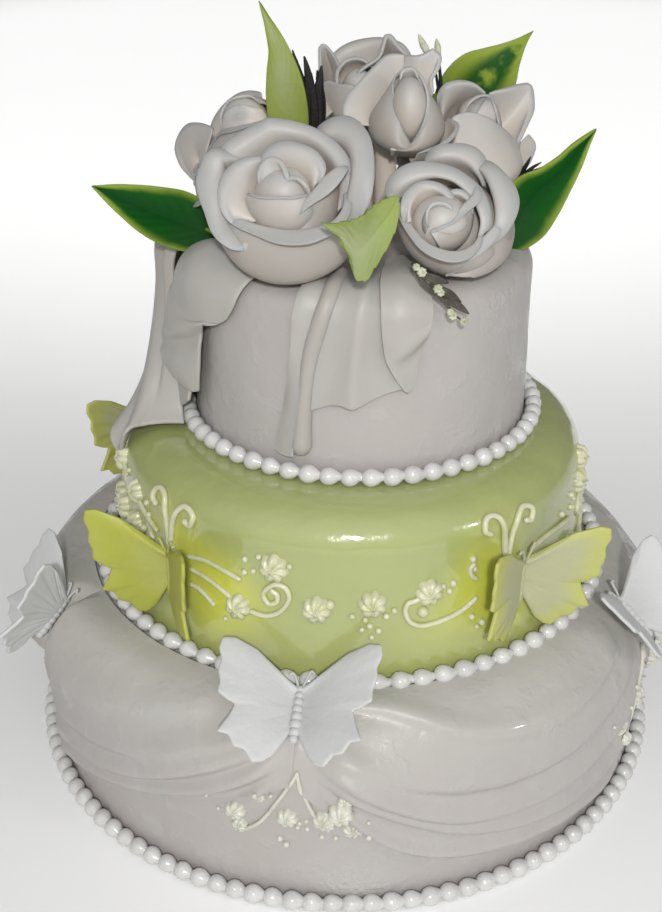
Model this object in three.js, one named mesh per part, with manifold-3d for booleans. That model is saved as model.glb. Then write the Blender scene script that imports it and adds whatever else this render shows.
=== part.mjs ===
// A three-tier celebration cake with pearl borders, swags, drapes, roses and butterflies.
// Millimetres and degrees. +Z is up, the front faces -Y, azimuth 0 is the front and grows towards +X.
import * as THREE from 'three';
import { mergeVertices } from 'three/addons/utils/BufferGeometryUtils.js';
import Module from 'manifold-3d';

const wasm = await Module();
wasm.setup();

// Driving dimensions
const clearance = 0.35;
const pearl = { radius: 4.8, pitch: 10.5, neck: 0.66, sides: 4 };
const tiers = {
  bottom: {
    x: -1.2, y: 0, floor: 0, top: 119, foot: 192.8, wall: 192.8, across: 35.6, down: 42, sides: 48,
    rows: [0, 1],
  },
  middle: {
    x: 1.6, y: -0.3, floor: 119.3, top: 213.4, foot: 150.6, wall: 138.8, across: 29, down: 21, sides: 48,
    rows: [0, 0.4, 1],
  },
  top: {
    x: 7, y: 1, floor: 213.7, top: 316.2, foot: 98.6, wall: 96.8, across: 12, down: 12, sides: 40,
    rows: [0, 1],
  },
};
const borders = {
  border_bottom: { tier: tiers.bottom, radius: 198, seat: 0 },
  border_middle: { tier: tiers.middle, radius: 156.1, seat: 119.3 },
  border_top: { tier: tiers.top, radius: 104, seat: 213.7 },
};
const swagCloth = { start: 7.5, rim: 46, inner: 2, thick: 1.8, plump: 2.4, topSide: 1.9, hemSide: 0.9 };
const blossom = { radius: 7.4, rise: 4.2, sunk: 0.8, petals: 5 };
const drapeCloth = { inner: 1.3, thick: 2.2, hollow: 0.35 };
const leafThick = 1.8;
const wingThick = 2.2;
const body = { width: 4.4, length: 20, height: 4, wallLift: 5.2 };

// Colours of the icing and gum paste
const looks = {
  ivory: { color: 0xbdb6ae, roughness: 0.25 },
  blush: { color: 0xcbc0b4, roughness: 0.3 },
  pistachio: { color: 0xaab56e, roughness: 0.2 },
  white: { color: 0xe2e2df, roughness: 0.45 },
  petal: { color: 0xd2c9c0, roughness: 0.6 },
  limeWing: { color: 0xbcc04a, roughness: 0.6 },
  whiteWing: { color: 0xd8dada, roughness: 0.65 },
  leaf: { color: 0x3f7f38, roughness: 0.55 },
  paleLeaf: { color: 0xa9bb60, roughness: 0.6 },
  twig: { color: 0x40352e, roughness: 0.7 },
};

const group = new THREE.Group();

// Small helpers for vectors, solids and meshes
const radians = THREE.MathUtils.degToRad;
const vec = (x, y, z) => new THREE.Vector3(x, y, z);
const mix = THREE.MathUtils.lerp;
const steps = (count) => Array.from({ length: count + 1 }, (_, i) => i / count);

function positionsOnly(geometry) {
  const bare = new THREE.BufferGeometry();
  bare.setAttribute('position', geometry.getAttribute('position').clone());
  if (geometry.index) bare.setIndex(geometry.index.clone());
  return mergeVertices(bare, 1e-4);
}

function solid(geometry) {
  const merged = positionsOnly(geometry);
  const vertProperties = new Float32Array(merged.getAttribute('position').array);
  const kept = [];
  const index = merged.index.array;
  for (let i = 0; i < index.length; i += 3) {
    const [a, b, c] = [index[i], index[i + 1], index[i + 2]];
    if (a !== b && b !== c && a !== c) kept.push(a, b, c);
  }
  return new wasm.Manifold(new wasm.Mesh({ numProp: 3, vertProperties, triVerts: new Uint32Array(kept) }));
}

function geometryOf(shape) {
  const mesh = shape.getMesh();
  const geometry = new THREE.BufferGeometry();
  geometry.setAttribute('position', new THREE.BufferAttribute(new Float32Array(mesh.vertProperties), 3));
  geometry.setIndex(new THREE.BufferAttribute(new Uint32Array(mesh.triVerts), 1));
  return geometry;
}

function largestPiece(shape) {
  const pieces = shape.decompose();
  return pieces.reduce((best, piece) => (piece.volume() > best.volume() ? piece : best));
}

function union(shapes) {
  return shapes.reduce((whole, shape) => whole.add(shape));
}

function addMesh(name, shape, look) {
  const geometry = shape.isBufferGeometry ? shape : geometryOf(largestPiece(shape));
  const mesh = new THREE.Mesh(geometry, new THREE.MeshStandardMaterial({ ...look, metalness: 0 }));
  mesh.name = name;
  group.add(mesh);
  return mesh;
}

// The value part of the way along a list
function valueAlong(list, part) {
  const spot = Math.min(Math.max(part, 0), 1) * (list.length - 1);
  const index = Math.min(Math.floor(spot), list.length - 2);
  return mix(list[index], list[index + 1], spot - index);
}

// A closed thin solid between two faces split into triangles alike; the front one looks along du x dv
function shell(frontAt, backAt, us, vs) {
  const front = [];
  const back = [];
  for (const v of vs) {
    for (const u of us) {
      front.push(frontAt(u, v));
      back.push(backAt(u, v));
    }
  }
  const columns = us.length;
  const rows = vs.length;
  const offset = columns * rows;
  const index = [];
  const quad = (a, b, c, d) => index.push(a, b, c, a, c, d);
  const at = (i, j) => j * columns + i;
  for (let j = 0; j < rows - 1; j += 1) {
    for (let i = 0; i < columns - 1; i += 1) {
      const corners = [at(i, j), at(i + 1, j), at(i + 1, j + 1), at(i, j + 1)];
      quad(...corners);
      const [a, b, c, d] = corners.map((k) => k + offset);
      index.push(a, c, b, a, d, c);
    }
  }
  const edge = (a, b) => quad(a, a + offset, b + offset, b);
  for (let i = 0; i < columns - 1; i += 1) {
    edge(at(i, 0), at(i + 1, 0));
    edge(at(i + 1, rows - 1), at(i, rows - 1));
  }
  for (let j = 0; j < rows - 1; j += 1) {
    edge(at(columns - 1, j), at(columns - 1, j + 1));
    edge(at(0, j + 1), at(0, j));
  }
  const geometry = new THREE.BufferGeometry().setFromPoints([...front, ...back]);
  geometry.setIndex(index);
  return geometry;
}

// The same face moved inwards by a thickness
function behind(pointAt, thickness) {
  const reach = 1e-3;
  return (u, v) => {
    const du = pointAt(u + reach, v).sub(pointAt(u - reach, v));
    const dv = pointAt(u, v + reach).sub(pointAt(u, v - reach));
    return pointAt(u, v).addScaledVector(du.cross(dv).normalize(), -thickness);
  };
}

// The wall of a tier: radius at a height, and points along its skin from the rim's inner edge outwards
function rimLength(tier) {
  return (Math.PI / 2) * Math.sqrt((tier.across ** 2 + tier.down ** 2) / 2);
}

function wallRadius(tier, z) {
  const rimFoot = tier.top - tier.down;
  if (z >= rimFoot) {
    const climb = Math.min((z - rimFoot) / tier.down, 1);
    return tier.wall - tier.across + tier.across * Math.sqrt(1 - climb * climb);
  }
  const height = (z - tier.floor) / (rimFoot - tier.floor);
  return tier.wall + (tier.foot - tier.wall) * (1 - height) ** 2;
}

function profileAt(tier, run) {
  const inner = tier.wall - tier.across;
  const rim = rimLength(tier);
  if (run <= 0) return { r: inner + run, z: tier.top, out: 0, up: 1 };
  if (run < rim) {
    const angle = (run / rim) * (Math.PI / 2);
    const slope = Math.hypot(Math.sin(angle) / tier.across, Math.cos(angle) / tier.down);
    return {
      r: inner + tier.across * Math.sin(angle),
      z: tier.top - tier.down + tier.down * Math.cos(angle),
      out: Math.sin(angle) / tier.across / slope,
      up: Math.cos(angle) / tier.down / slope,
    };
  }
  const z = tier.top - tier.down - (run - rim);
  return { r: wallRadius(tier, z), z, out: 1, up: 0 };
}

function runAtHeight(tier, z) {
  const rimFoot = tier.top - tier.down;
  if (z <= rimFoot) return rimLength(tier) + rimFoot - z;
  return (Math.acos(Math.min((z - rimFoot) / tier.down, 1)) / (Math.PI / 2)) * rimLength(tier);
}

function skin(tier, azimuth, run, lift) {
  const p = profileAt(tier, run);
  const r = p.r + lift * p.out;
  const a = radians(azimuth);
  return vec(tier.x + r * Math.sin(a), tier.y - r * Math.cos(a), p.z + lift * p.up);
}

// The directions on a tier's skin: outwards, up the slope and towards growing azimuth
function skinFrame(tier, azimuth, run, lift) {
  const origin = skin(tier, azimuth, run, lift);
  const normal = skin(tier, azimuth, run, lift + 1).sub(origin).normalize();
  const side = vec(Math.cos(radians(azimuth)), Math.sin(radians(azimuth)), 0);
  const forward = normal.clone().cross(side).normalize();
  return { origin, normal, side, forward };
}

function tierOutline(tier) {
  const points = [new THREE.Vector2(0, tier.floor)];
  for (const part of tier.rows) {
    const z = mix(tier.floor, tier.top - tier.down, part);
    points.push(new THREE.Vector2(wallRadius(tier, z), z));
  }
  for (const part of [0.36, 0.7, 1]) {
    const p = profileAt(tier, rimLength(tier) * (1 - part));
    points.push(new THREE.Vector2(p.r, p.z));
  }
  points.push(new THREE.Vector2(0, tier.top));
  return points;
}

function tierSolid(tier) {
  const geometry = new THREE.LatheGeometry(tierOutline(tier), tier.sides);
  geometry.rotateX(Math.PI / 2);
  geometry.translate(tier.x, tier.y, 0);
  return solid(geometry);
}

// A ring of pearls: a tube that narrows to a neck between one pearl and the next
function pearlRing(border, grow) {
  const count = Math.round((2 * Math.PI * border.radius) / pearl.pitch);
  const tube = pearl.radius + grow;
  const geometry = new THREE.TorusGeometry(border.radius, tube, pearl.sides, count * 2);
  const position = geometry.getAttribute('position');
  const rows = count * 2 + 1;
  for (let i = 0; i < position.count; i += 1) {
    const size = (i % rows) % 2 === 0 ? 1 : pearl.neck;
    const a = ((i % rows) / (count * 2)) * Math.PI * 2;
    const turn = (Math.floor(i / rows) / pearl.sides) * Math.PI * 2 + Math.PI / 4;
    const r = border.radius + tube * size * Math.cos(turn);
    const z = border.seat + clearance + pearl.radius * Math.SQRT1_2 + tube * size * Math.sin(turn);
    position.setXYZ(i, border.tier.x + r * Math.cos(a), border.tier.y + r * Math.sin(a), z);
  }
  return geometry;
}

// Piping on the walls
function pipedTube(points, radius, sides, pieces) {
  const curve = new THREE.CatmullRomCurve3(points);
  const section = new THREE.Shape();
  for (let i = 0; i < sides; i += 1) {
    const a = (i / sides) * Math.PI * 2;
    if (i === 0) section.moveTo(radius * Math.cos(a), radius * Math.sin(a));
    else section.lineTo(radius * Math.cos(a), radius * Math.sin(a));
  }
  const along = { extrudePath: curve, steps: pieces, bevelEnabled: false };
  return solid(new THREE.ExtrudeGeometry(section, along));
}

function pipedFlower(tier, azimuth, z, scale) {
  const { origin, normal } = skinFrame(tier, azimuth, runAtHeight(tier, z), -blossom.sunk);
  const cone = new THREE.ConeGeometry(blossom.radius * scale, blossom.rise, blossom.petals);
  cone.translate(0, blossom.rise / 2, 0);
  cone.applyQuaternion(new THREE.Quaternion().setFromUnitVectors(vec(0, 1, 0), normal));
  cone.translate(origin.x, origin.y, origin.z);
  return solid(cone);
}

function pipedLine(tier, spots, radius, pieces) {
  const points = spots.map(([azimuth, z]) => skin(tier, azimuth, runAtHeight(tier, z), radius * 0.4));
  return pipedTube(points, radius, 3, pieces);
}

// Places of the butterflies round the middle and the bottom tier
const greenButterflies = [
  { name: 'butterfly_green_1', azimuth: -42.5, z: 163.5, left: 34, right: 36, lean: 1, size: 1.03 },
  { name: 'butterfly_green_2', azimuth: 41.4, z: 162, left: 10, right: 21, lean: 4, size: 0.98 },
  { name: 'butterfly_green_3', azimuth: 151, z: 165, left: 28, right: 28, lean: 0, size: 1 },
  { name: 'butterfly_green_4', azimuth: -113, z: 165, left: 28, right: 28, lean: 0, size: 1 },
];
const whiteButterflies = [
  {
    name: 'butterfly_white_1', azimuth: -7.7, run: 17, lift: 6.2, left: 18, right: 25, lean: -1, size: 1,
    blossoms: [[-9.3, 57], [-1.2, 64], [4.6, 62], [8.8, 45.5]],
  },
  {
    name: 'butterfly_white_2', azimuth: 64.2, run: 26, lift: 7.2, left: 26, right: 64, lean: 0, size: 0.9,
    blossoms: [[3.6, 61], [8.6, 46], [4.6, 46]],
  },
  {
    name: 'butterfly_white_3', azimuth: 141, run: 27, lift: 7.2, left: 30, right: 45, lean: 0, size: 0.95,
    blossoms: [[-15.5, 55], [-11, 62], [-8.5, 48], [-4, 60]],
  },
  {
    name: 'butterfly_white_4', azimuth: -142, run: 26, lift: 7.2, left: 45, right: 30, lean: 0, size: 0.95,
    blossoms: [[-15.5, 55], [-11, 62], [-8.5, 48], [-4, 60]],
  },
  {
    name: 'butterfly_white_5', azimuth: -63.6, run: 29, lift: 8.6, left: 22, right: 61, lean: 0, size: 0.98,
    blossoms: [[-15.5, 55], [-11, 62], [-8.5, 48], [-4, 60]],
  },
];

// Blossoms and scrolls between two green butterflies: part of the way to the next one, and a height
const flowerSpots = [[0.235, 153], [0.335, 181], [0.45, 159.5], [0.592, 163.5], [0.742, 167]];
const scrollLeft = [[0.27, 152.5], [0.32, 152], [0.36, 157], [0.378, 165], [0.35, 171.5], [0.325, 165]];
const scrollRight = [[0.705, 163], [0.675, 158], [0.7, 151], [0.75, 149], [0.82, 152], [0.87, 157]];
const feelers = [
  [[-0.5, 176], [-1.5, 194], [-5, 202], [-7, 196]],
  [[0.5, 176], [1.5, 190], [5, 200], [7, 193]],
];

function middleDecor(tier) {
  const shapes = [];
  const sorted = greenButterflies.map((b) => b.azimuth).sort((a, b) => a - b);
  sorted.forEach((from, i) => {
    const to = i + 1 < sorted.length ? sorted[i + 1] : sorted[0] + 360;
    const across = (part) => mix(from, to, part);
    for (const [part, z] of flowerSpots) shapes.push(pipedFlower(tier, across(part), z, 1));
    for (const spots of [scrollLeft, scrollRight]) {
      shapes.push(pipedLine(tier, spots.map(([part, z]) => [across(part), z]), 1.5, 5));
    }
    for (const spots of feelers) {
      shapes.push(pipedLine(tier, spots.map(([turn, z]) => [from + turn, z]), 1.6, 3));
    }
  });
  return shapes;
}

// Blossoms below each white butterfly
function bottomDecor(tier) {
  return whiteButterflies.flatMap(({ azimuth, blossoms }) =>
    blossoms.map(([turn, z]) => pipedFlower(tier, azimuth + turn, z, 0.9)),
  );
}

// Swags between neighbouring white butterflies, with folds that sag from one to the next
const swags = [
  { name: 'swag_1', from: -63.6, to: -7.7, hem: [72, 37, 40, 47, 54, 63, 75, 86], puff: [4, 0] },
  { name: 'swag_2', from: -7.7, to: 64.2, hem: [86, 57, 38, 30, 26, 25, 30, 62], puff: [0, 0] },
  { name: 'swag_3', from: 64.2, to: 141, hem: [86, 58, 39, 30, 30, 40, 76, 86], puff: [0, 0] },
  { name: 'swag_4', from: 141, to: 218, hem: [72, 36, 30, 29, 31, 42, 76, 86], puff: [0, 0] },
  { name: 'swag_5', from: 218, to: 296.4, hem: [72, 36, 30, 29, 31, 42, 76, 86], puff: [0, 4] },
];
const foldRows = [
  [0, 0], [0.12, 0.2], [0.25, 0.4], [0.37, 1], [0.5, 0.2], [0.62, 1], [0.75, 0.1], [0.87, 1], [1, 0.7],
];

function foldAt(part) {
  return foldRows.find(([row]) => row >= part - 1e-9)[1];
}

function swagSolid(tier, swag) {
  const faceAt = (lift, puffed) => (u, v) => {
    const side = mix(swagCloth.topSide, swagCloth.hemSide, v);
    const azimuth = mix(swag.from + side, swag.to - side, u);
    const onRim = mix(swagCloth.start, swagCloth.rim, Math.min(v * 2, 1));
    const bottom = runAtHeight(tier, valueAlong(swag.hem, u));
    const run = v <= 0.5 ? onRim : mix(swagCloth.rim, bottom, v * 2 - 1);
    const puff = mix(...swag.puff, u) * Math.min(v * 2.5, 1) * puffed;
    return skin(tier, azimuth, run, lift(v) + puff);
  };
  const outer = faceAt((v) => swagCloth.inner + swagCloth.thick + swagCloth.plump * foldAt(v), 1);
  const inner = faceAt(() => swagCloth.inner, 0);
  return shell(inner, outer, steps(6), foldRows.map(([row]) => row));
}

// Drapes of rolled icing that fall from under the roses
const drapes = [
  {
    name: 'drape_front',
    start: -16,
    columns: [
      [-25.5, 225, 1], [-22, 222, 4], [-19.5, 224, 3], [-16.5, 229, 9], [-14, 232, 7], [-12.6, 256, 2],
      [-8, 256, 6], [-3, 259, 2], [2, 262, 6], [6, 266, 2.5], [9.5, 268, 9], [14, 268, 6], [18.5, 304, 3],
    ],
  },
  {
    name: 'drape_left',
    start: -16,
    columns: [
      [-84, 262, 9], [-79, 258, 13], [-74, 262, 8], [-69, 251, 10], [-64, 241, 5], [-60, 262, 6],
      [-56, 283, 3], [-49, 290, 6], [-43, 300, 2], [-37, 309, 1],
    ],
  },
  {
    name: 'drape_back',
    start: -16,
    columns: [
      [150, 268, 2], [155, 262, 7], [161, 258, 2.5], [166, 256, 7], [171, 240, 3], [176, 232, 8],
      [181, 236, 3], [187, 262, 6], [193, 266, 2],
    ],
  },
];

function drapeSolid(tier, drape) {
  const pick = (place) => drape.columns.map((column) => column[place]);
  const [azimuths, bottoms, lifts] = [0, 1, 2].map(pick);
  const rimFoot = rimLength(tier);
  const faceAt = (thick, relief) => (u, v) => {
    const bottom = runAtHeight(tier, valueAlong(bottoms, u));
    const onRim = v < 0 ? drape.start * -v : rimFoot * v;
    const run = v <= 1 ? onRim : mix(rimFoot, bottom, v - 1);
    const swell = relief * valueAlong(lifts, u) * Math.min(Math.max(v * 0.7, 0), 1);
    return skin(tier, valueAlong(azimuths, u), run, drapeCloth.inner + thick + swell);
  };
  const outer = faceAt(drapeCloth.thick, 1);
  const inner = faceAt(0, drapeCloth.hollow);
  return shell(inner, outer, steps(azimuths.length - 1), [-1, 0, 0.5, 1, 2]);
}

// The long drape at the left flares out over the middle tier
const train = {
  name: 'drape_train',
  azimuths: [-86, -90, -95, -101, -108, -116],
  lifts: [17, 20, 17, 18, 11, 4],
  thick: 3,
  hem: [
    [-101.5, -33.5, 220], [-112, -36, 218], [-127, -42, 215], [-138, -58, 196], [-143, -40, 205],
    [-134, -6, 214],
  ],
};

function trainSolid(tier) {
  const pointAt = (u, v) => {
    const lift = train.thick + drapeCloth.inner + valueAlong(train.lifts, u) * Math.min(v * 4, 1);
    const run = mix(-20, runAtHeight(tier, 232), v);
    const hung = skin(tier, valueAlong(train.azimuths, u), run, lift);
    const hem = vec(...[0, 1, 2].map((axis) => valueAlong(train.hem.map((point) => point[axis]), u)));
    const flare = Math.max((v - 0.45) / 0.55, 0);
    return hung.lerp(hem, flare ** 1.6);
  };
  const rows = [0, 0.14, 0.22, 0.4, 0.6, 0.8, 1];
  return shell(pointAt, behind(pointAt, train.thick), steps(5), rows);
}

// Roses: lobed rims in rings round a closed bud, each petal tucked behind the next one.
// A row holds the radius and height in rose sizes, how far a petal leans out and dips at its sides.
const roseSides = 16;
const roseLobes = 4;
const innerRow = 4;
const roseFoot = { top: 0.26, bottom: 0.3, inward: 0.36, rise: 0.22 };
const openRows = [
  [0.3, 0.04, 0, 0], [0.66, 0.2, 0.02, 0], [1.02, 0.72, 0.08, 0.12], [0.94, 0.8, 0.08, 0.12],
  [0.62, 0.56, 0.03, 0.02], [0.58, 0.78, 0.06, 0.08], [0.46, 0.85, 0.06, 0.08], [0.27, 0.64, 0.02, 0],
  [0.2, 0.86, 0.02, 0],
];
const halfRows = [
  [0.3, 0.04, 0, 0], [0.66, 0.26, 0.02, 0], [0.88, 1.02, 0.08, 0.16], [0.78, 1.08, 0.07, 0.16],
  [0.6, 0.72, 0.03, 0.02], [0.52, 1.2, 0.04, 0.06], [0.4, 1.3, 0.04, 0.06], [0.26, 1.12, 0.02, 0],
  [0.14, 1.36, 0.02, 0],
];
const roses = [
  { name: 'rose_front_left', at: [-31.5, -69, 356], azimuth: -8, tilt: 50, size: 44, rows: openRows },
  { name: 'rose_front_right', at: [49, -63, 349], azimuth: 12, tilt: 50, size: 39, rows: openRows },
  {
    name: 'rose_bud', at: [28, -17, 386], azimuth: 2, tilt: 62, size: 27, rows: halfRows,
    lobes: [1.2, 0.95, 0.95, 1.35],
  },
  {
    name: 'rose_right', at: [72, 4, 366], azimuth: 42, tilt: 58, size: 31, rows: halfRows,
    lobes: [1.25, 0.95, 0.95, 1.15],
  },
  { name: 'rose_left', at: [-68, 6, 360], azimuth: -62, tilt: 46, size: 36, rows: openRows },
  { name: 'rose_middle', at: [11, 38, 392], azimuth: -20, tilt: 66, size: 36, rows: openRows },
  { name: 'rose_back_left', at: [-43, 66, 352], azimuth: -150, tilt: 46, size: 36, rows: openRows },
  { name: 'rose_back_right', at: [54, 70, 352], azimuth: 148, tilt: 46, size: 36, rows: openRows },
];

function rosePlacement(rose) {
  const [a, e] = [radians(rose.azimuth), radians(rose.tilt)];
  const axis = vec(Math.sin(a) * Math.cos(e), -Math.cos(a) * Math.cos(e), Math.sin(e));
  const right = vec(Math.cos(a), Math.sin(a), 0);
  const up = axis.clone().cross(right);
  const base = vec(...rose.at).addScaledVector(axis, -0.55 * rose.size);
  return { base, matrix: new THREE.Matrix4().makeBasis(right, up, axis).setPosition(base) };
}

function roseRow([radius, height, lean, dip], row, lobes) {
  const points = [];
  const perLobe = roseSides / roseLobes;
  const shift = row > innerRow ? perLobe / 2 : 0;
  for (let i = 0; i < roseSides; i += 1) {
    const lobe = Math.floor(((i + shift) % roseSides) / perLobe);
    const side = (((i + shift) % perLobe) / (perLobe - 1)) * 2 - 1;
    const rise = row > 1 && row < innerRow ? lobes[lobe] : 1;
    const r = radius + lean * side;
    const a = (i / roseSides) * Math.PI * 2;
    points.push(vec(r * Math.sin(a), r * Math.cos(a), height * rise - dip * side * side));
  }
  return points;
}

function roseGeometry(rose) {
  const lobes = rose.lobes ?? [1, 1, 1, 1];
  const rings = rose.rows.map((values, row) => roseRow(values, row, lobes));
  const top = rose.rows[rose.rows.length - 1];
  const points = [vec(0, 0, 0), ...rings.flat(), vec(0, 0, top[1] + 0.05)];
  const at = (row, i) => 1 + row * roseSides + (i % roseSides);
  const index = [];
  for (let i = 0; i < roseSides; i += 1) {
    index.push(0, at(0, i), at(0, i + 1));
    index.push(points.length - 1, at(rings.length - 1, i + 1), at(rings.length - 1, i));
    for (let row = 0; row < rings.length - 1; row += 1) {
      const [a, b, c, d] = [at(row, i), at(row, i + 1), at(row + 1, i + 1), at(row + 1, i)];
      index.push(a, d, c, a, c, b);
    }
  }
  const geometry = new THREE.BufferGeometry().setFromPoints(points);
  geometry.setIndex(index);
  geometry.scale(rose.size, rose.size, rose.size);
  return geometry.applyMatrix4(rosePlacement(rose).matrix);
}

function roseSolid(rose) {
  return solid(roseGeometry(rose)).add(footSolid(rose));
}

// The stub under a rose that stands on the top tier, a little nearer its middle
function footSolid(rose) {
  const { base } = rosePlacement(rose);
  const middle = vec(tiers.top.x, tiers.top.y, base.z);
  const stand = base.clone().add(middle.sub(base).setLength(roseFoot.inward * rose.size));
  const bottom = tiers.top.top + clearance;
  const height = base.z + roseFoot.rise * rose.size - bottom;
  const foot = new THREE.CylinderGeometry(roseFoot.top * rose.size, roseFoot.bottom * rose.size, height, 6);
  foot.rotateX(Math.PI / 2);
  foot.translate(stand.x, stand.y, bottom + height / 2);
  return solid(foot);
}

// Leaves: thin wavy blades with a fold along the midrib
const leaves = [
  {
    name: 'leaf_upright', base: [-31, 2, 372], tip: [-49, -2, 442], face: [0.1, -1, 0.1],
    width: 10.5, sag: 5, look: 'paleLeaf',
  },
  {
    name: 'leaf_left', base: [-79, -28, 322], tip: [-141, -14, 348], face: [-0.1, -0.8, 0.6],
    width: 15, sag: -8, look: 'leaf',
  },
  {
    name: 'leaf_right', base: [88, -20, 318], tip: [131, -10, 379], face: [0.2, -1, 0.2],
    width: 17, sag: -8, look: 'leaf',
  },
  {
    name: 'leaf_back_right', base: [72, 44, 376], tip: [101, 45, 423], face: [-0.1, -1, 0.4],
    width: 16, sag: 5, look: 'paleLeaf',
  },
  {
    name: 'leaf_front', base: [24, -100, 350], tip: [-13, -112, 359], face: [0, -1, 0.2],
    width: 17, sag: 3, look: 'paleLeaf',
  },
  {
    name: 'leaf_back_left', base: [-24, 107, 328], tip: [-70, 142, 354], face: [0, 0.6, 0.8],
    width: 15, sag: -8, look: 'leaf',
  },
  {
    name: 'leaf_back', base: [33, 110, 330], tip: [72, 140, 368], face: [0, 0.8, 0.6],
    width: 15, sag: -8, look: 'paleLeaf',
  },
];

function leafSolid(leaf) {
  const [base, tip] = [vec(...leaf.base), vec(...leaf.tip)];
  const along = tip.clone().sub(base);
  const side = along.clone().cross(vec(...leaf.face)).normalize();
  const face = side.clone().cross(along).normalize();
  const pointAt = (u, v) => {
    const half = leaf.width * (0.12 + 0.88 * Math.sin(Math.PI * Math.max(v, 0) ** 0.8)) * u;
    const bow = leaf.sag * Math.sin(Math.PI * v) + Math.abs(u) * leaf.width * 0.3 * Math.sin(Math.PI * v);
    return base.clone().addScaledVector(along, v).addScaledVector(side, half).addScaledVector(face, bow);
  };
  return shell(pointAt, behind(pointAt, leafThick), [-1, 0, 1], [0, 0.2, 0.45, 0.72, 1]);
}

// Butterflies: two flat wings raised from a slim body
const wingOutline = [
  [1, 11], [17, 20.5], [29, 28.5], [39, 32.5], [46, 31], [43.5, 1.5], [33.5, -4], [40, -20.5], [19.5, -32],
  [10, -26], [1, -12],
];

function butterflySolid(frame, spot) {
  const lean = new THREE.Quaternion().setFromAxisAngle(frame.normal, radians(-spot.lean));
  const forward = frame.forward.clone().applyQuaternion(lean);
  const side = frame.side.clone().applyQuaternion(lean);
  const shapes = [bodySolid(frame, forward, side)];
  for (const [sign, rise] of [[-1, spot.left], [1, spot.right]]) {
    const across = side.clone().multiplyScalar(sign * Math.cos(radians(rise)));
    across.addScaledVector(frame.normal, Math.sin(radians(rise)));
    const outline = wingOutline.map(([x, y]) => new THREE.Vector2(x * spot.size, y * spot.size));
    const blade = { depth: wingThick, bevelEnabled: false };
    const wing = new THREE.ExtrudeGeometry(new THREE.Shape(outline), blade);
    wing.translate(0, 0, -wingThick / 2);
    const through = across.clone().cross(forward);
    wing.applyMatrix4(new THREE.Matrix4().makeBasis(across, forward, through).setPosition(frame.origin));
    shapes.push(solid(wing));
  }
  return union(shapes);
}

function bodySolid(frame, forward, side) {
  const shape = new THREE.OctahedronGeometry(1);
  shape.scale(body.width, body.length, body.height);
  const through = side.clone().cross(forward);
  shape.applyMatrix4(new THREE.Matrix4().makeBasis(side, forward, through).setPosition(frame.origin));
  return solid(shape);
}

// Dark twigs with small buds between the roses
const twigs = [
  { name: 'spray_front', stem: [[34, -62, 321], [43, -95, 320], [51, -103, 312], [58, -106, 302]], bud: 2.4 },
  { name: 'spray_left', stem: [[-17, 20, 345], [-18, 12, 375], [-20, 10, 398], [-18, 8, 414]], bud: 2.2 },
  { name: 'spray_right', stem: [[96, 10, 330], [102, 4, 345], [106, 0, 356], [112, -2, 362]], bud: 2.2 },
  { name: 'spray_back', stem: [[54, 36, 374], [53, 38, 390], [50, 40, 404], [45, 41, 418]], bud: 2.6 },
];

function twigSolid(twig) {
  const points = twig.stem.map((p) => vec(...p));
  const curve = new THREE.CatmullRomCurve3(points);
  const shapes = [pipedTube(points, 1.6, 3, 3)];
  for (const part of [0.5, 0.92]) {
    const p = curve.getPoint(part);
    const bud = new THREE.OctahedronGeometry(twig.bud);
    bud.translate(p.x, p.y, p.z);
    shapes.push(solid(bud));
  }
  return union(shapes);
}

// The whole cake
addMesh('tier_bottom', union([tierSolid(tiers.bottom), ...bottomDecor(tiers.bottom)]), looks.ivory);
addMesh('tier_middle', union([tierSolid(tiers.middle), ...middleDecor(tiers.middle)]), looks.pistachio);
addMesh('tier_top', tierSolid(tiers.top), looks.blush);
for (const [name, border] of Object.entries(borders)) addMesh(name, pearlRing(border, 0), looks.white);
for (const swag of swags) addMesh(swag.name, swagSolid(tiers.bottom, swag), looks.ivory);
for (const drape of drapes) addMesh(drape.name, drapeSolid(tiers.top, drape), looks.petal);
addMesh(train.name, trainSolid(tiers.top), looks.petal);
for (const rose of roses) addMesh(rose.name, roseSolid(rose), looks.petal);
for (const leaf of leaves) addMesh(leaf.name, leafSolid(leaf), looks[leaf.look]);
for (const spot of greenButterflies) {
  const run = runAtHeight(tiers.middle, spot.z);
  const frame = skinFrame(tiers.middle, spot.azimuth, run, body.wallLift);
  addMesh(spot.name, butterflySolid(frame, spot), looks.limeWing);
}
for (const spot of whiteButterflies) {
  const frame = skinFrame(tiers.bottom, spot.azimuth, spot.run, spot.lift);
  addMesh(spot.name, butterflySolid(frame, spot), looks.whiteWing);
}
for (const twig of twigs) addMesh(twig.name, twigSolid(twig), looks.twig);

export default group;
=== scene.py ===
# A three-tier celebration cake with swags, drapes, sugar roses and butterflies
import math

import bmesh
import bpy
import numpy as np
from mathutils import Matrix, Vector


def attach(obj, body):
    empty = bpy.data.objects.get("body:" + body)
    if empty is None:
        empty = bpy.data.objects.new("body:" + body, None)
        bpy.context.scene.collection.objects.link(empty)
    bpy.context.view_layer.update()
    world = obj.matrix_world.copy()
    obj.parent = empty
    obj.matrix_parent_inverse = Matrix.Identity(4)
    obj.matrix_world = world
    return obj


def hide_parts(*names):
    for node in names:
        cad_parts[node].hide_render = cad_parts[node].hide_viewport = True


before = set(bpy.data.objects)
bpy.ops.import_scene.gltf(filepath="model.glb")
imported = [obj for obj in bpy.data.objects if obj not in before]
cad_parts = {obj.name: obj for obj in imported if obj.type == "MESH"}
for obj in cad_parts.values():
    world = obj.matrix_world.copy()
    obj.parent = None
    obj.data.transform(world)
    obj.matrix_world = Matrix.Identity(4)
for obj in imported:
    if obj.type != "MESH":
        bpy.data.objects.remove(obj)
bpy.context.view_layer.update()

print("frame loaded:", len(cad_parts), "nodes")

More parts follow.
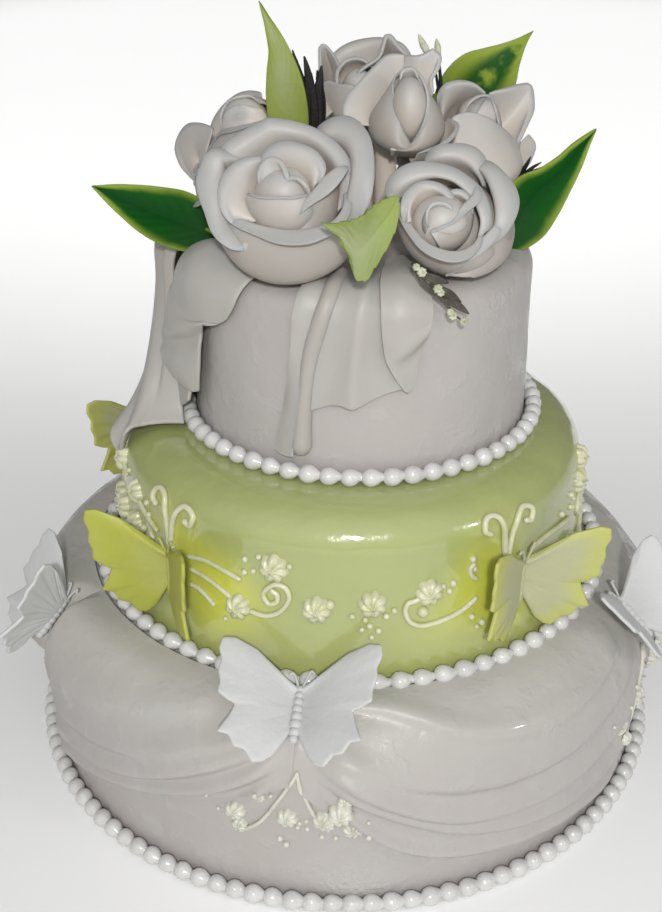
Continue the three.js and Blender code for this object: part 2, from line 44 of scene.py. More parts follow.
# The sizes below are in millimetres and degrees, and a mesh is made in metres.
# Azimuth 0 is the front of the cake and grows towards +X.
metre = 0.001
turnFull = 2 * math.pi


class Value:  # an output of a node; an expression on it adds its Math nodes
    def __init__(self, paint, socket):
        self.paint = paint
        self.socket = socket

    def __add__(self, other):
        return self.paint.math("ADD", self, other)

    def __radd__(self, other):
        return self.paint.math("ADD", other, self)

    def __sub__(self, other):
        return self.paint.math("SUBTRACT", self, other)

    def __rsub__(self, other):
        return self.paint.math("SUBTRACT", other, self)

    def __mul__(self, other):
        return self.paint.math("MULTIPLY", self, other)

    def __rmul__(self, other):
        return self.paint.math("MULTIPLY", other, self)

    def __pow__(self, other):
        return self.paint.math("POWER", self, other)


class Paint:  # one material
    def __init__(self, name):
        self.material = bpy.data.materials.new(name)
        self.material.use_nodes = True
        self.tree = self.material.node_tree
        self.tree.nodes.clear()
        self.place = self.node("ShaderNodeTexCoord", output="Object")

    def node(self, kind, settings=None, values=None, output=0):
        made = self.tree.nodes.new(kind)
        for key, value in (settings or {}).items():
            setattr(made, key, value)
        for key, value in (values or {}).items():
            if isinstance(value, Value):
                self.tree.links.new(value.socket, made.inputs[key])
            else:
                made.inputs[key].default_value = value
        return Value(self, made.outputs[output]) if made.outputs else made

    def math(self, operation, a, b=0.0):
        return self.node("ShaderNodeMath", {"operation": operation}, {0: a, 1: b})

    def mix(self, factor, a, b):
        colours = {6: opaque(a), 7: opaque(b)}
        return self.node("ShaderNodeMix", {"data_type": "RGBA"}, {0: factor, **colours}, output=2)

    def step(self, value, low, high):
        limits = {"Value": value, "From Min": low, "From Max": high}
        return self.node("ShaderNodeMapRange", {"interpolation_type": "SMOOTHSTEP"}, limits)

    def noise(self, scale, detail=2.0, stretch=None):
        place = self.place
        if stretch:
            place = self.node("ShaderNodeMapping", values={"Vector": place, "Scale": stretch})
        return self.node("ShaderNodeTexNoise", values={"Vector": place, "Scale": scale, "Detail": detail})

    def attribute(self, name, part=None):
        if part is None:
            return self.node("ShaderNodeAttribute", {"attribute_name": name}, output="Fac")
        whole = self.node("ShaderNodeAttribute", {"attribute_name": name}, output="Vector")
        return self.node("ShaderNodeSeparateXYZ", values={0: whole}, output=part)

    def height(self, part="Z"):
        return self.node("ShaderNodeSeparateXYZ", values={0: self.place}, output=part)

    def bump(self, height, distance, strength=1.0):
        return self.node("ShaderNodeBump", values={"Height": height, "Distance": distance, "Strength": strength})

    def finish(self, **sockets):
        values = {key.replace("_", " "): value for key, value in sockets.items()}
        shader = self.node("ShaderNodeBsdfPrincipled", values=values)
        self.node("ShaderNodeOutputMaterial", values={"Surface": shader})
        return self.material


def opaque(colour):
    return colour if isinstance(colour, Value) else (*colour, 1.0)


# Colours are linear, and a ripple is the height of a bump in metres
ivoryColours = {
    "shoulder": (0.425, 0.41, 0.37), "wall": (0.40, 0.37, 0.35), "cool": (0.385, 0.38, 0.37), "coolness": 0.55,
    "roughness": (0.34, 0.50), "specular": 0.35, "coatRoughness": 0.07, "ripple": 0.0009, "fine": 0.24,
    "glint": 0.55, "glintGrain": 70.0, "glintSteps": (0.52, 0.64), "glintWrinkle": 0.6,
    "wetGloss": 0.14, "wetWrinkle": 1.6,
}


def ivoryIcing(name, low, high):
    paint = Paint(name)
    c = ivoryColours
    cloud = paint.noise(9.0, 3.0)
    tone = paint.mix(paint.step(paint.height(), low, high), c["wall"], c["shoulder"])
    tone = paint.mix(paint.step(cloud, 0.25, 0.80) * c["coolness"], tone, c["cool"])
    wet = paint.attribute("glow")
    rough = paint.step(paint.noise(22.0, 3.0), 0.2, 0.8) * (c["roughness"][1] - c["roughness"][0])
    glint = paint.step(paint.noise(c["glintGrain"], 3.0), *c["glintSteps"]) * c["glint"]
    ripple = paint.noise(45.0, 2.0) + paint.noise(190.0, 2.0) * c["fine"]
    ripple = ripple + paint.noise(330.0, 2.0) * (wet * c["wetWrinkle"] + glint * c["glintWrinkle"])
    return paint.finish(
        Base_Color=tone, Roughness=rough * (1.0 - wet) + c["roughness"][0] - wet * c["wetGloss"],
        Normal=paint.bump(ripple, c["ripple"]), Coat_Weight=glint + wet, Coat_Roughness=c["coatRoughness"],
        Specular_IOR_Level=c["specular"],
    )


pistachioColours = {
    "pale": (0.335, 0.37, 0.145), "bright": (0.53, 0.55, 0.08), "deep": (0.33, 0.355, 0.112),
    "mottle": 0.35, "lowBand": (0.122, 0.158), "lowShare": 0.6, "roughness": 0.17, "roughnessMore": 0.10,
    "coat": 0.9, "coatRoughness": 0.05, "ripple": 0.0012, "fine": 0.22,
}


def pistachioGlaze(name):
    paint = Paint(name)
    c = pistachioColours
    glow = paint.attribute("glow")
    cloud = paint.noise(12.0, 3.0)
    low = 1.0 - paint.step(paint.height(), *c["lowBand"])
    tone = paint.mix(paint.step(cloud, 0.3, 0.85) * c["mottle"] + low * c["lowShare"], c["pale"], c["deep"])
    tone = paint.mix(paint.step(glow + (cloud - 0.5) * 0.25, 0.0, 1.0), tone, c["bright"])
    ripple = paint.noise(38.0, 2.0) + paint.noise(170.0, 2.0) * c["fine"]
    return paint.finish(
        Base_Color=tone, Roughness=paint.step(cloud, 0.3, 0.8) * c["roughnessMore"] + c["roughness"],
        Normal=paint.bump(ripple, c["ripple"]), Coat_Weight=c["coat"], Coat_Roughness=c["coatRoughness"],
    )


pipingColours = {
    "pearl": {"light": (0.585, 0.58, 0.565), "shade": (0.52, 0.515, 0.50), "roughness": 0.14},
    "cream": {"light": (0.58, 0.58, 0.40), "shade": (0.50, 0.51, 0.29), "roughness": 0.3},
    "milk": {"light": (0.58, 0.575, 0.50), "shade": (0.50, 0.495, 0.41), "roughness": 0.3},
}


def pipedIcing(name, c):
    paint = Paint(name)
    tone = paint.mix(paint.step(paint.noise(85.0, 3.0), 0.38, 0.72), c["light"], c["shade"])
    grain = paint.noise(420.0, 3.0)
    return paint.finish(
        Base_Color=tone, Roughness=paint.noise(60.0) * 0.16 + c["roughness"],
        Normal=paint.bump(grain, 0.00035), Coat_Weight=0.25, Coat_Roughness=0.12,
    )


pasteColours = {
    # depth is a painted glow: lighter and warmer than the body, for light shining through the paste and bouncing
    # between the petals deep in a rose; clothShade is a painted shade on the drapes where they run under the roses
    "rim": (0.325, 0.33, 0.325), "body": (0.41, 0.40, 0.385), "depth": (0.58, 0.51, 0.445),
    # undersideShade is a painted shade: a darker colour for the outer walls of the roses that face downwards
    "undersideShade": (0.27, 0.245, 0.222), "cloth": (0.395, 0.38, 0.355), "clothShade": (0.38, 0.355, 0.325),
    "roughness": 0.44, "glow": 0.27, "depthOfGlow": 0.006,
}


def petalPaste(name, rim, body, depth, undersideShade):
    paint = Paint(name)
    along = paint.attribute("place", "Y")
    cloud = paint.noise(28.0, 3.0)
    # Painted light: towards the foot of each petal the colour turns to the deep colour, which for the roses is a
    # lighter, warmer painted glow for light shining through the paste and bouncing between the petals; the drapes
    # pass their darker cloth shade here instead, a painted shade where the cloth runs under the roses
    tone = paint.mix(paint.step(along + (cloud - 0.5) * 0.25, 0.30, 0.80), depth, body)
    # Painted shade: low on the back face of each sheet the colour turns to the darker underside shade, standing in
    # for the shade on the down-facing outer walls of the roses; the drapes pass their plain cloth colour here, so
    # they stay unshaded
    behind = paint.step(paint.attribute("place", "Z"), 1.2, 2.0) * (1.0 - paint.step(along, 0.35, 0.78))
    tone = paint.mix(behind, tone, undersideShade)
    tone = paint.mix(paint.step(along + (cloud - 0.5) * 0.10, 0.72, 0.95), tone, rim)
    grain = paint.noise(30.0, 4.0) + paint.noise(260.0, 3.0) * 0.10
    return paint.finish(
        Base_Color=tone, Roughness=cloud * 0.16 + pasteColours["roughness"] - 0.08,
        Normal=paint.bump(grain, 0.0008), Specular_IOR_Level=0.35, Subsurface_Weight=pasteColours["glow"],
        Subsurface_Scale=pasteColours["depthOfGlow"], Subsurface_Radius=(1.0, 0.75, 0.5),
    )


wingColours = {
    "lime": {"inner": (0.35, 0.36, 0.085), "body": (0.335, 0.35, 0.036), "vein": (0.28, 0.305, 0.03),
             "rim": (0.37, 0.385, 0.06), "roughness": 0.42},
    "cream": {"inner": (0.385, 0.39, 0.235), "body": (0.38, 0.385, 0.225), "vein": (0.34, 0.35, 0.155),
              "rim": (0.43, 0.44, 0.12), "roughness": 0.45},
    "white": {"inner": (0.49, 0.495, 0.49), "body": (0.52, 0.525, 0.52), "vein": (0.45, 0.455, 0.455),
              "rim": (0.52, 0.52, 0.515), "roughness": 0.5},
}


def wingPaste(name, c):
    paint = Paint(name)
    along = paint.attribute("place", "Y")
    groove = 0.0 - paint.attribute("place", "Z")
    cloud = paint.noise(40.0, 3.0)
    tone = paint.mix(paint.step(along + (cloud - 0.5) * 0.5, 0.1, 0.8), c["inner"], c["body"])
    tone = paint.mix(paint.step(groove, 0.1, 0.6) * 0.7, tone, c["vein"])
    tone = paint.mix(paint.step(along + (cloud - 0.5) * 0.2, 0.50, 1.0), tone, c["rim"])
    return paint.finish(
        Base_Color=tone, Roughness=cloud * 0.2 + c["roughness"],
        Normal=paint.bump(paint.noise(300.0, 3.0), 0.0003),
    )


leafColours = {
    "green": {"middle": (0.001, 0.046, 0.004), "side": (0.004, 0.072, 0.005), "margin": (0.21, 0.29, 0.04),
              "foot": (0.010, 0.055, 0.010), "blotch": (0.005, 0.05, 0.009), "amount": 0.4, "grain": 130.0,
              "edges": (0.70, 1.12), "mottle": 0.35, "roughness": 0.55, "spots": (0.54, 0.62)},
    "pale": {"middle": (0.275, 0.31, 0.16), "side": (0.235, 0.28, 0.115), "margin": (0.20, 0.255, 0.05),
             "foot": (0.25, 0.31, 0.09), "blotch": (0.25, 0.32, 0.10), "amount": 0.4, "grain": 90.0,
             "edges": (0.75, 1.25), "mottle": 0.6, "roughness": 0.45, "spots": (0.54, 0.62)},
    "ash": {"middle": (0.30, 0.335, 0.165), "side": (0.265, 0.315, 0.09), "margin": (0.22, 0.28, 0.04),
            "foot": (0.25, 0.31, 0.05), "blotch": (0.24, 0.30, 0.07), "amount": 0.35, "grain": 80.0,
            "edges": (0.72, 1.20), "mottle": 0.5, "roughness": 0.45, "spots": (0.54, 0.62)},
    "moss": {"middle": (0.21, 0.285, 0.03), "side": (0.23, 0.30, 0.035), "margin": (0.22, 0.28, 0.05),
             "foot": (0.17, 0.22, 0.025), "blotch": (0.014, 0.075, 0.010), "amount": 1.0, "grain": 38.0,
             "edges": (0.7, 1.1), "mottle": 0.6, "roughness": 0.42, "spots": (0.47, 0.56)},
}


def leafPaste(name, c):
    paint = Paint(name)
    across = paint.math("ABSOLUTE", paint.attribute("place", "X") * 2.0 - 1.0)
    along = paint.attribute("place", "Y")
    cloud = paint.noise(55.0, 4.0)
    spread = across + (cloud - 0.5) * c["mottle"]
    tone = paint.mix(paint.step(spread, 0.0, 0.8), c["middle"], c["side"])
    tone = paint.mix(paint.step(along + (cloud - 0.5) * 0.4, 0.10, 0.60), c["foot"], tone)
    blotch = paint.step(paint.noise(c["grain"], 4.0), *c["spots"]) * (1.0 - paint.step(across, 0.3, 0.8))
    tone = paint.mix(blotch * c["amount"], tone, c["blotch"])
    reach = paint.step(spread + along ** 5.0 * 0.7, *c["edges"])
    tone = paint.mix(reach, tone, c["margin"])
    return paint.finish(
        Base_Color=tone, Roughness=cloud * 0.2 + c["roughness"], Normal=paint.bump(paint.noise(240.0, 3.0), 0.0004),
        Specular_IOR_Level=0.10,
    )


twigColours = {
    "dark": {"light": (0.010, 0.008, 0.006), "shade": (0.002, 0.002, 0.002), "roughness": 0.6},
    "olive": {"light": (0.095, 0.083, 0.065), "shade": (0.045, 0.040, 0.030), "roughness": 0.5},
    "bud": {"light": (0.55, 0.56, 0.42), "shade": (0.40, 0.41, 0.27), "roughness": 0.4},
}


def twigPaste(name, c):
    paint = Paint(name)
    tone = paint.mix(paint.step(paint.noise(190.0, 4.0), 0.35, 0.7), c["shade"], c["light"])
    return paint.finish(
        Base_Color=tone, Roughness=paint.noise(90.0) * 0.2 + c["roughness"],
        Normal=paint.bump(paint.noise(500.0, 3.0), 0.0004),
    )


paints = {
    "bottomIcing": ivoryIcing("bottomIcing", 0.05, 0.115),
    "topIcing": ivoryIcing("topIcing", 0.30, 0.42),
    "swagIcing": ivoryIcing("swagIcing", 0.075, 0.125),
    "glaze": pistachioGlaze("pistachioGlaze"),
    "pearl": pipedIcing("pearlIcing", pipingColours["pearl"]),
    "cream": pipedIcing("creamPiping", pipingColours["cream"]),
    "milk": pipedIcing("milkPiping", pipingColours["milk"]),
    "rose": petalPaste("rosePaste", *[pasteColours[k] for k in ("rim", "body", "depth", "undersideShade")]),
    "drape": petalPaste("drapePaste", *[pasteColours[k] for k in ("cloth", "cloth", "clothShade", "cloth")]),
    "lime": wingPaste("limeWing", wingColours["lime"]),
    "creamWing": wingPaste("creamWing", wingColours["cream"]),
    "white": wingPaste("whiteWing", wingColours["white"]),
    "leafGreen": leafPaste("greenLeaf", leafColours["green"]),
    "leafPale": leafPaste("paleLeaf", leafColours["pale"]),
    "leafAsh": leafPaste("ashLeaf", leafColours["ash"]),
    "leafMoss": leafPaste("mossLeaf", leafColours["moss"]),
    "twig": twigPaste("darkTwig", twigColours["dark"]),
    "olive": twigPaste("oliveTwig", twigColours["olive"]),
    "bud": twigPaste("paleBud", twigColours["bud"]),
}
print("materials ready:", len(paints))


def smoothLine(points, part, knots=None):  # a smooth line through points; part and knots run from 0 to 1
    points = np.asarray(points, float)
    part = np.clip(np.asarray(part, float), 0, 1)
    knots = np.linspace(0, 1, len(points)) if knots is None else np.asarray(knots, float)
    slopes = np.gradient(points, knots, axis=0)
    index = np.clip(np.searchsorted(knots, part, side="right") - 1, 0, len(knots) - 2)
    span = knots[index + 1] - knots[index]
    t = (part - knots[index]) / span
    widen = t.shape + (1,) * (points.ndim - 1)
    t, span = t.reshape(widen), span.reshape(widen)
    near = (1 + 2 * t) * (1 - t) ** 2 * points[index] + t * (1 - t) ** 2 * span * slopes[index]
    return near + t * t * (3 - 2 * t) * points[index + 1] + t * t * (t - 1) * span * slopes[index + 1]


def knotsOf(points):  # knots spaced as the points are
    lengths = np.linalg.norm(np.diff(np.asarray(points, float), axis=0), axis=1)
    return np.concatenate([[0], np.cumsum(lengths)]) / lengths.sum()


def ripples(place, scale, seed):  # a soft random relief between about -1 and 1
    rng = np.random.default_rng(seed)
    total = 0
    for octave in range(5):
        direction = rng.normal(size=3)
        direction /= np.linalg.norm(direction)
        wave = (1 + 0.6 * octave) / scale
        total = total + np.sin(place @ direction * wave * turnFull + rng.uniform(0, turnFull)) / (1 + octave)
    return total / 2


def smoothStep(value, low, high):
    t = np.clip((value - low) / (high - low), 0, 1)
    return t * t * (3 - 2 * t)


def edged(count, width):  # places from 0 to 1, close together at both ends
    near = np.array([0, 0.13, 0.45]) * width
    return np.concatenate([near, np.linspace(width, 1 - width, count), 1 - near[::-1]])


def rounding(part, width):  # how much of its thickness a sheet has near an edge
    inside = np.minimum(np.minimum(part, 1 - part) / width, 1)
    return np.sqrt(np.maximum(1 - (1 - inside) ** 2, 0))


def unit(vectors):
    length = np.linalg.norm(vectors, axis=-1, keepdims=True)
    return vectors / np.maximum(length, 1e-9)


def normalsOf(points):
    return unit(np.cross(np.gradient(points, axis=1), np.gradient(points, axis=0)))


def gridFaces(index):  # quads of a grid of point numbers
    a, b, c, d = index[:-1, :-1], index[:-1, 1:], index[1:, 1:], index[1:, :-1]
    return np.stack([a, b, c, d], -1).reshape(-1, 4)


class Clay:  # the points and faces of one piece
    def __init__(self):
        self.points = []
        self.faces = []
        self.places = []
        self.looks = []
        self.count = 0

    def add(self, points, faces, places, look=0):
        self.points.append(np.asarray(points, float).reshape(-1, 3))
        self.faces += (np.asarray(faces) + self.count).tolist()
        self.places.append(np.asarray(places, float).reshape(-1, 3))
        self.looks += [look] * len(faces)
        self.count += len(self.points[-1])

    def grid(self, points, places=None, flip=False):  # a surface without thickness
        faces = gridFaces(np.arange(points[..., 0].size).reshape(points.shape[:2]))
        self.add(points, faces if flip else faces[:, ::-1], np.zeros_like(points) if places is None else places)

    def sheet(self, pointAt, thick, across, along, columns, rows, relief=None, look=0):
        # pointAt takes u across and v along, both from 0 to 1; its front looks along du x dv
        wide, long = thick / 2 / across, thick / 2 / along
        us, vs = edged(columns, wide), edged(rows, long)
        u, v = np.meshgrid(us, vs)
        middle = pointAt(u, v)
        half = (thick / 2 * rounding(u, wide) * rounding(v, long))[..., None]
        normal = normalsOf(middle)
        raised = np.zeros_like(u) if relief is None else relief(u, v)
        front = middle + normal * half * (1 + 2 / thick * raised[..., None])
        back = middle - normal * half
        shape = u.shape
        index = np.arange(u.size).reshape(shape)
        inner = np.zeros(shape, bool)
        inner[1:-1, 1:-1] = True
        backIndex = index.copy()
        backIndex[inner] = u.size + np.arange(inner.sum())
        faces = np.concatenate([gridFaces(index), gridFaces(backIndex)[:, ::-1]])
        place = np.stack([u, v, raised / max(np.abs(raised).max(), 1e-6)], -1)
        behind = np.stack([u, v, 0 * u + 2], -1)
        points = np.concatenate([front.reshape(-1, 3), back[inner]])
        self.add(points, faces, np.concatenate([place.reshape(-1, 3), behind[inner]]), look)

    def tube(self, line, radius, sides=10, look=0):
        # line holds points, radius one number or one for each of them; the ends are closed round
        line = np.asarray(line, float)
        radius = np.broadcast_to(np.asarray(radius, float), (len(line),))
        ahead = unit(np.gradient(line, axis=0))
        side = np.array([0.0, 0.0, 1.0]) if abs(ahead[0][2]) < 0.9 else np.array([1.0, 0.0, 0.0])
        rings = [line[0] - ahead[0] * radius[0]]
        turns = np.arange(sides) / sides * turnFull
        capped = [(0, -0.7, 0.7)] + [(i, 0, 1) for i in range(len(line))] + [(len(line) - 1, 0.7, 0.7)]
        for i, shift, size in capped:
            side = side - ahead[i] * (side @ ahead[i])
            side = side / np.linalg.norm(side)
            other = np.cross(ahead[i], side)
            circle = np.cos(turns)[:, None] * side + np.sin(turns)[:, None] * other
            rings.append(line[i] + ahead[i] * shift * radius[i] + circle * radius[i] * size)
        rings.append(line[-1] + ahead[-1] * radius[-1])
        points = np.vstack(rings)
        count = len(capped)
        index = 1 + np.arange(count * sides).reshape(count, sides)
        index = np.concatenate([index, index[:, :1]], 1)
        faces = gridFaces(index).tolist()
        last = len(points) - 1
        for k in range(sides):
            faces.append([0, index[0, k + 1], index[0, k]])
            faces.append([last, index[-1, k], index[-1, k + 1]])
        places = np.zeros((len(points), 3))
        self.count, start = self.count + len(points), self.count
        self.points.append(points)
        self.places.append(places)
        self.faces += [[k + start for k in face] for face in faces]
        self.looks += [look] * len(faces)

    def finish(self, name, *looks, extra=None):
        mesh = bpy.data.meshes.new(name)
        points = np.vstack(self.points) * metre
        mesh.from_pydata(points.tolist(), [], self.faces)
        place = mesh.attributes.new("place", "FLOAT_VECTOR", "POINT")
        place.data.foreach_set("vector", np.vstack(self.places).astype(np.float32).ravel())
        for key, values in (extra or {}).items():
            mesh.attributes.new(key, "FLOAT", "POINT").data.foreach_set("value", values.astype(np.float32))
        for look in looks:
            mesh.materials.append(paints[look])
        mesh.polygons.foreach_set("material_index", self.looks)
        mesh.polygons.foreach_set("use_smooth", [True] * len(self.faces))
        welded = bmesh.new()
        welded.from_mesh(mesh)
        bmesh.ops.remove_doubles(welded, verts=welded.verts, dist=2e-5)
        bmesh.ops.dissolve_degenerate(welded, edges=welded.edges, dist=1e-6)
        welded.to_mesh(mesh)
        welded.free()
        piece = bpy.data.objects.new(name, mesh)
        bpy.context.scene.collection.objects.link(piece)
        return piece


def keep(piece, slot, *nodes):
    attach(piece, "root")
    if nodes:
        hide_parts(*nodes)
    return piece


# across and down are the two sizes of a tier's round rim
tiers = {
    "bottom": {
        "x": -1.2, "y": 0, "floor": 0, "top": 119, "foot": 192.8, "wall": 192.8, "across": 35.6, "down": 42,
    },
    "middle": {
        "x": 1.6, "y": -0.3, "floor": 119.3, "top": 213.4, "foot": 150.6, "wall": 138.8, "across": 29, "down": 21,
    },
    "top": {
        "x": 7, "y": 1, "floor": 213.7, "top": 316.2, "foot": 98.6, "wall": 96.8, "across": 12, "down": 12,
    },
}


def rimLength(tier):
    return math.pi / 2 * math.sqrt((tier["across"] ** 2 + tier["down"] ** 2) / 2)


def profileAt(tier, run):  # run grows outwards and down from the rim's inner edge
    run = np.asarray(run, float)
    rim = rimLength(tier)
    angle = np.clip(run / rim, 0, 1) * math.pi / 2
    sine, cosine = np.sin(angle), np.cos(angle)
    slope = np.hypot(sine / tier["across"], cosine / tier["down"])
    foot = tier["top"] - tier["down"]
    z = foot + tier["down"] * cosine - np.maximum(run - rim, 0)
    onRim = tier["wall"] - tier["across"] + tier["across"] * sine + np.minimum(run, 0)
    high = np.clip((z - tier["floor"]) / (foot - tier["floor"]), 0, 1)
    onWall = tier["wall"] + (tier["foot"] - tier["wall"]) * (1 - high) ** 2
    r = np.where(run > rim, onWall, onRim)
    return r, z, sine / tier["across"] / slope, cosine / tier["down"] / slope


def runAt(tier, z):
    foot = tier["top"] - tier["down"]
    onRim = np.arccos(np.clip((z - foot) / tier["down"], 0, 1)) / (math.pi / 2) * rimLength(tier)
    return np.where(z <= foot, rimLength(tier) + foot - z, onRim)


def skin(tier, azimuth, run, lift):
    r, z, out, up = profileAt(tier, run)
    r = r + lift * out
    a = np.radians(azimuth)
    return np.stack([tier["x"] + r * np.sin(a), tier["y"] - r * np.cos(a), z + lift * up + 0 * a], -1)


def outwards(tier, azimuth, run):
    return skin(tier, azimuth, run, 1.0) - skin(tier, azimuth, run, 0.0)


def wallSpot(tier, azimuth, z, lift=0.0):
    return skin(tier, azimuth, runAt(tier, np.asarray(z, float)), lift)


def skinFrame(tier, azimuth, run, lift):  # origin, outwards, up the slope, towards growing azimuth
    origin = skin(tier, azimuth, run, lift)
    normal = unit(skin(tier, azimuth, run, lift + 1.0) - origin)
    side = np.array([math.cos(math.radians(azimuth)), math.sin(math.radians(azimuth)), 0.0])
    return origin, normal, unit(np.cross(normal, side)), side


tierShape = {"columns": 240, "rows": 64, "wobble": 0.35, "bedTop": 10}


def glowAt(azimuth, z, spots):
    return sum(
        (bright * np.exp(-((((azimuth - a + 180) % 360 - 180) / w) ** 2) - ((z - level) / h) ** 2)
         for a, level, w, h, bright in spots), np.zeros_like(azimuth))


def tierPiece(name, tier, look, seed, glow=(), flare=0):
    clay = Clay()
    inner = tier["wall"] - tier["across"]
    full = float(runAt(tier, np.asarray(float(tier["floor"]))))
    runs = np.concatenate([np.linspace(-inner, 0, tierShape["bedTop"]), np.linspace(2, full, tierShape["rows"])])
    azimuths = np.linspace(0, 360, tierShape["columns"] + 1)
    azimuth, run = np.meshgrid(azimuths, runs)
    calm = smoothStep(-run, -14, 0) * 0.6
    rough = ripples(skin(tier, azimuth, run, 0.0), 60, seed) * tierShape["wobble"]
    rough = rough * (1 - calm) * smoothStep(full - run, 0, 8)
    patches = glowAt(azimuth, profileAt(tier, run)[1], glow)
    points = skin(tier, azimuth, run, rough + flare * patches * smoothStep(full - run, 0, 6))
    points[0] = [tier["x"], tier["y"], tier["top"]]
    centre = np.broadcast_to(np.array([tier["x"], tier["y"], tier["floor"]]), (1, len(azimuths), 3))
    points = np.concatenate([points, centre])
    clay.grid(points)
    return clay.finish(name, look, extra={"glow": np.concatenate([patches, patches[-1:]]).ravel()})


greenButterflies = [
    {"node": "butterfly_green_1", "azimuth": -42.5, "z": 163.5, "left": 34, "right": 29, "lean": 1, "size": 1.03,
     "look": "lime"},
    {"node": "butterfly_green_2", "azimuth": 39.5, "z": 164, "left": 22, "right": 38, "lean": 2, "size": 1.0,
     "look": "creamWing"},
    {"node": "butterfly_green_3", "azimuth": 151, "z": 165, "left": 28, "right": 28, "lean": 0, "size": 1,
     "look": "lime"},
    {"node": "butterfly_green_4", "azimuth": -113, "z": 165, "left": 28, "right": 28, "lean": 0, "size": 1,
     "look": "creamWing"},
]
# Azimuth, height, reach both ways and strength: bright patches of the glaze, then wet ones of the icing
glowSpots = [(-31, 158, 13, 22, 1), (-30, 136, 12, 10, 0.15), (31, 172, 9, 26, 0.7), (-46, 182, 12, 16, 0.7),
             (44, 150, 10, 20, 0.7), (27, 152, 15, 22, 0.45)]
glowSpots += [(a, 156, 16, 24, 0.8) for a in (-122, -104, 142, 160)]
wetSpots = [(1.5, 17, 7, 13, 1), (9, 46, 5, 14, 0.8), (60, 22, 5, 14, 0.6), (-150, 20, 6, 12, 0.6)]
wetRim = [(46, 302, 8, 7, 0.8), (52, 288, 6, 6, 0.7), (-14, 304, 3, 4, 0.9), (150, 300, 8, 7, 0.6)]

keep(tierPiece("bottomTier", tiers["bottom"], "bottomIcing", 3, wetSpots, flare=3.5), "ivory_icing", "tier_bottom")
keep(tierPiece("middleTier", tiers["middle"], "glaze", 5, glowSpots), "pistachio_icing", "tier_middle")
keep(tierPiece("topTier", tiers["top"], "topIcing", 7, wetRim), "ivory_icing", "tier_top")
print("tiers ready")


def treeWith(name, sockets):  # a new tree and its inputs by name
    tree = bpy.data.node_groups.new(name, "GeometryNodeTree")
    tree.interface.new_socket("Geometry", in_out="OUTPUT", socket_type="NodeSocketGeometry")
    for label, kind in sockets:
        tree.interface.new_socket(label, in_out="INPUT", socket_type=kind)
    return tree


def geometryNode(tree, kind, settings=None, values=None):
    made = tree.nodes.new(kind)
    for key, value in (settings or {}).items():
        setattr(made, key, value)
    for key, value in (values or {}).items():
        if isinstance(value, bpy.types.NodeSocket):
            tree.links.new(value, made.inputs[key])
        else:
            made.inputs[key].default_value = value
    return made


def closeTree(tree, geometry, material):
    real = geometryNode(tree, "GeometryNodeRealizeInstances", values={"Geometry": geometry})
    painted = geometryNode(
        tree, "GeometryNodeSetMaterial", values={"Geometry": real.outputs[0], "Material": material})
    geometryNode(tree, "NodeGroupOutput", values={"Geometry": painted.outputs[0]})


def borderTree():
    sockets = [
        ("Shape", "NodeSocketObject"), ("Ring radius", "NodeSocketFloat"), ("Count", "NodeSocketInt"),
        ("Pearl radius", "NodeSocketFloat"), ("Cord radius", "NodeSocketFloat"), ("Uneven", "NodeSocketFloat"),
        ("Tilt", "NodeSocketFloat"), ("Centre", "NodeSocketVector"), ("Seed", "NodeSocketInt"),
        ("Material", "NodeSocketMaterial"),
    ]
    tree = treeWith("pearlBorder", sockets)
    given = tree.nodes.new("NodeGroupInput").outputs
    ring = geometryNode(
        tree, "GeometryNodeCurvePrimitiveCircle",
        values={"Resolution": given["Count"], "Radius": given["Ring radius"]})
    points = geometryNode(tree, "GeometryNodeCurveToPoints", {"mode": "EVALUATED"}, {"Curve": ring.outputs[0]})
    pearl = geometryNode(tree, "GeometryNodeObjectInfo", values={"Object": given["Shape"]})
    least = geometryNode(tree, "ShaderNodeMath", {"operation": "SUBTRACT"}, {0: 1.0, 1: given["Uneven"]})
    vary = geometryNode(
        tree, "FunctionNodeRandomValue", {"data_type": "FLOAT"},
        {"Seed": given["Seed"], 2: least.outputs[0], 3: 1.0})
    size = geometryNode(
        tree, "ShaderNodeMath", {"operation": "MULTIPLY"}, {0: vary.outputs[1], 1: given["Pearl radius"]})
    ahead = geometryNode(
        tree, "FunctionNodeAlignRotationToVector", {"axis": "X"}, {"Vector": points.outputs["Tangent"]})
    less = geometryNode(tree, "ShaderNodeMath", {"operation": "MULTIPLY"}, {0: given["Tilt"], 1: -1.0})
    lowest = geometryNode(tree, "ShaderNodeCombineXYZ", values={k: less.outputs[0] for k in range(3)})
    highest = geometryNode(tree, "ShaderNodeCombineXYZ", values={k: given["Tilt"] for k in range(3)})
    tilt = geometryNode(
        tree, "FunctionNodeRandomValue", {"data_type": "FLOAT_VECTOR"},
        {"Seed": given["Seed"], 0: lowest.outputs[0], 1: highest.outputs[0]})
    turned = geometryNode(
        tree, "FunctionNodeRotateRotation", {"rotation_space": "LOCAL"}, {0: ahead.outputs[0], 1: tilt.outputs[0]})
    pearls = geometryNode(
        tree, "GeometryNodeInstanceOnPoints",
        values={"Points": points.outputs[0], "Instance": pearl.outputs["Geometry"], "Rotation": turned.outputs[0],
                "Scale": size.outputs[0]})
    section = geometryNode(
        tree, "GeometryNodeCurvePrimitiveCircle", values={"Resolution": 8, "Radius": given["Cord radius"]})
    cord = geometryNode(
        tree, "GeometryNodeCurveToMesh", values={"Curve": ring.outputs[0], "Profile Curve": section.outputs[0]})
    both = geometryNode(tree, "GeometryNodeJoinGeometry")
    tree.links.new(pearls.outputs[0], both.inputs[0])
    tree.links.new(cord.outputs[0], both.inputs[0])
    moved = geometryNode(
        tree, "GeometryNodeTransform", values={"Geometry": both.outputs[0], "Translation": given["Centre"]})
    closeTree(tree, moved.outputs[0], given["Material"])
    return tree


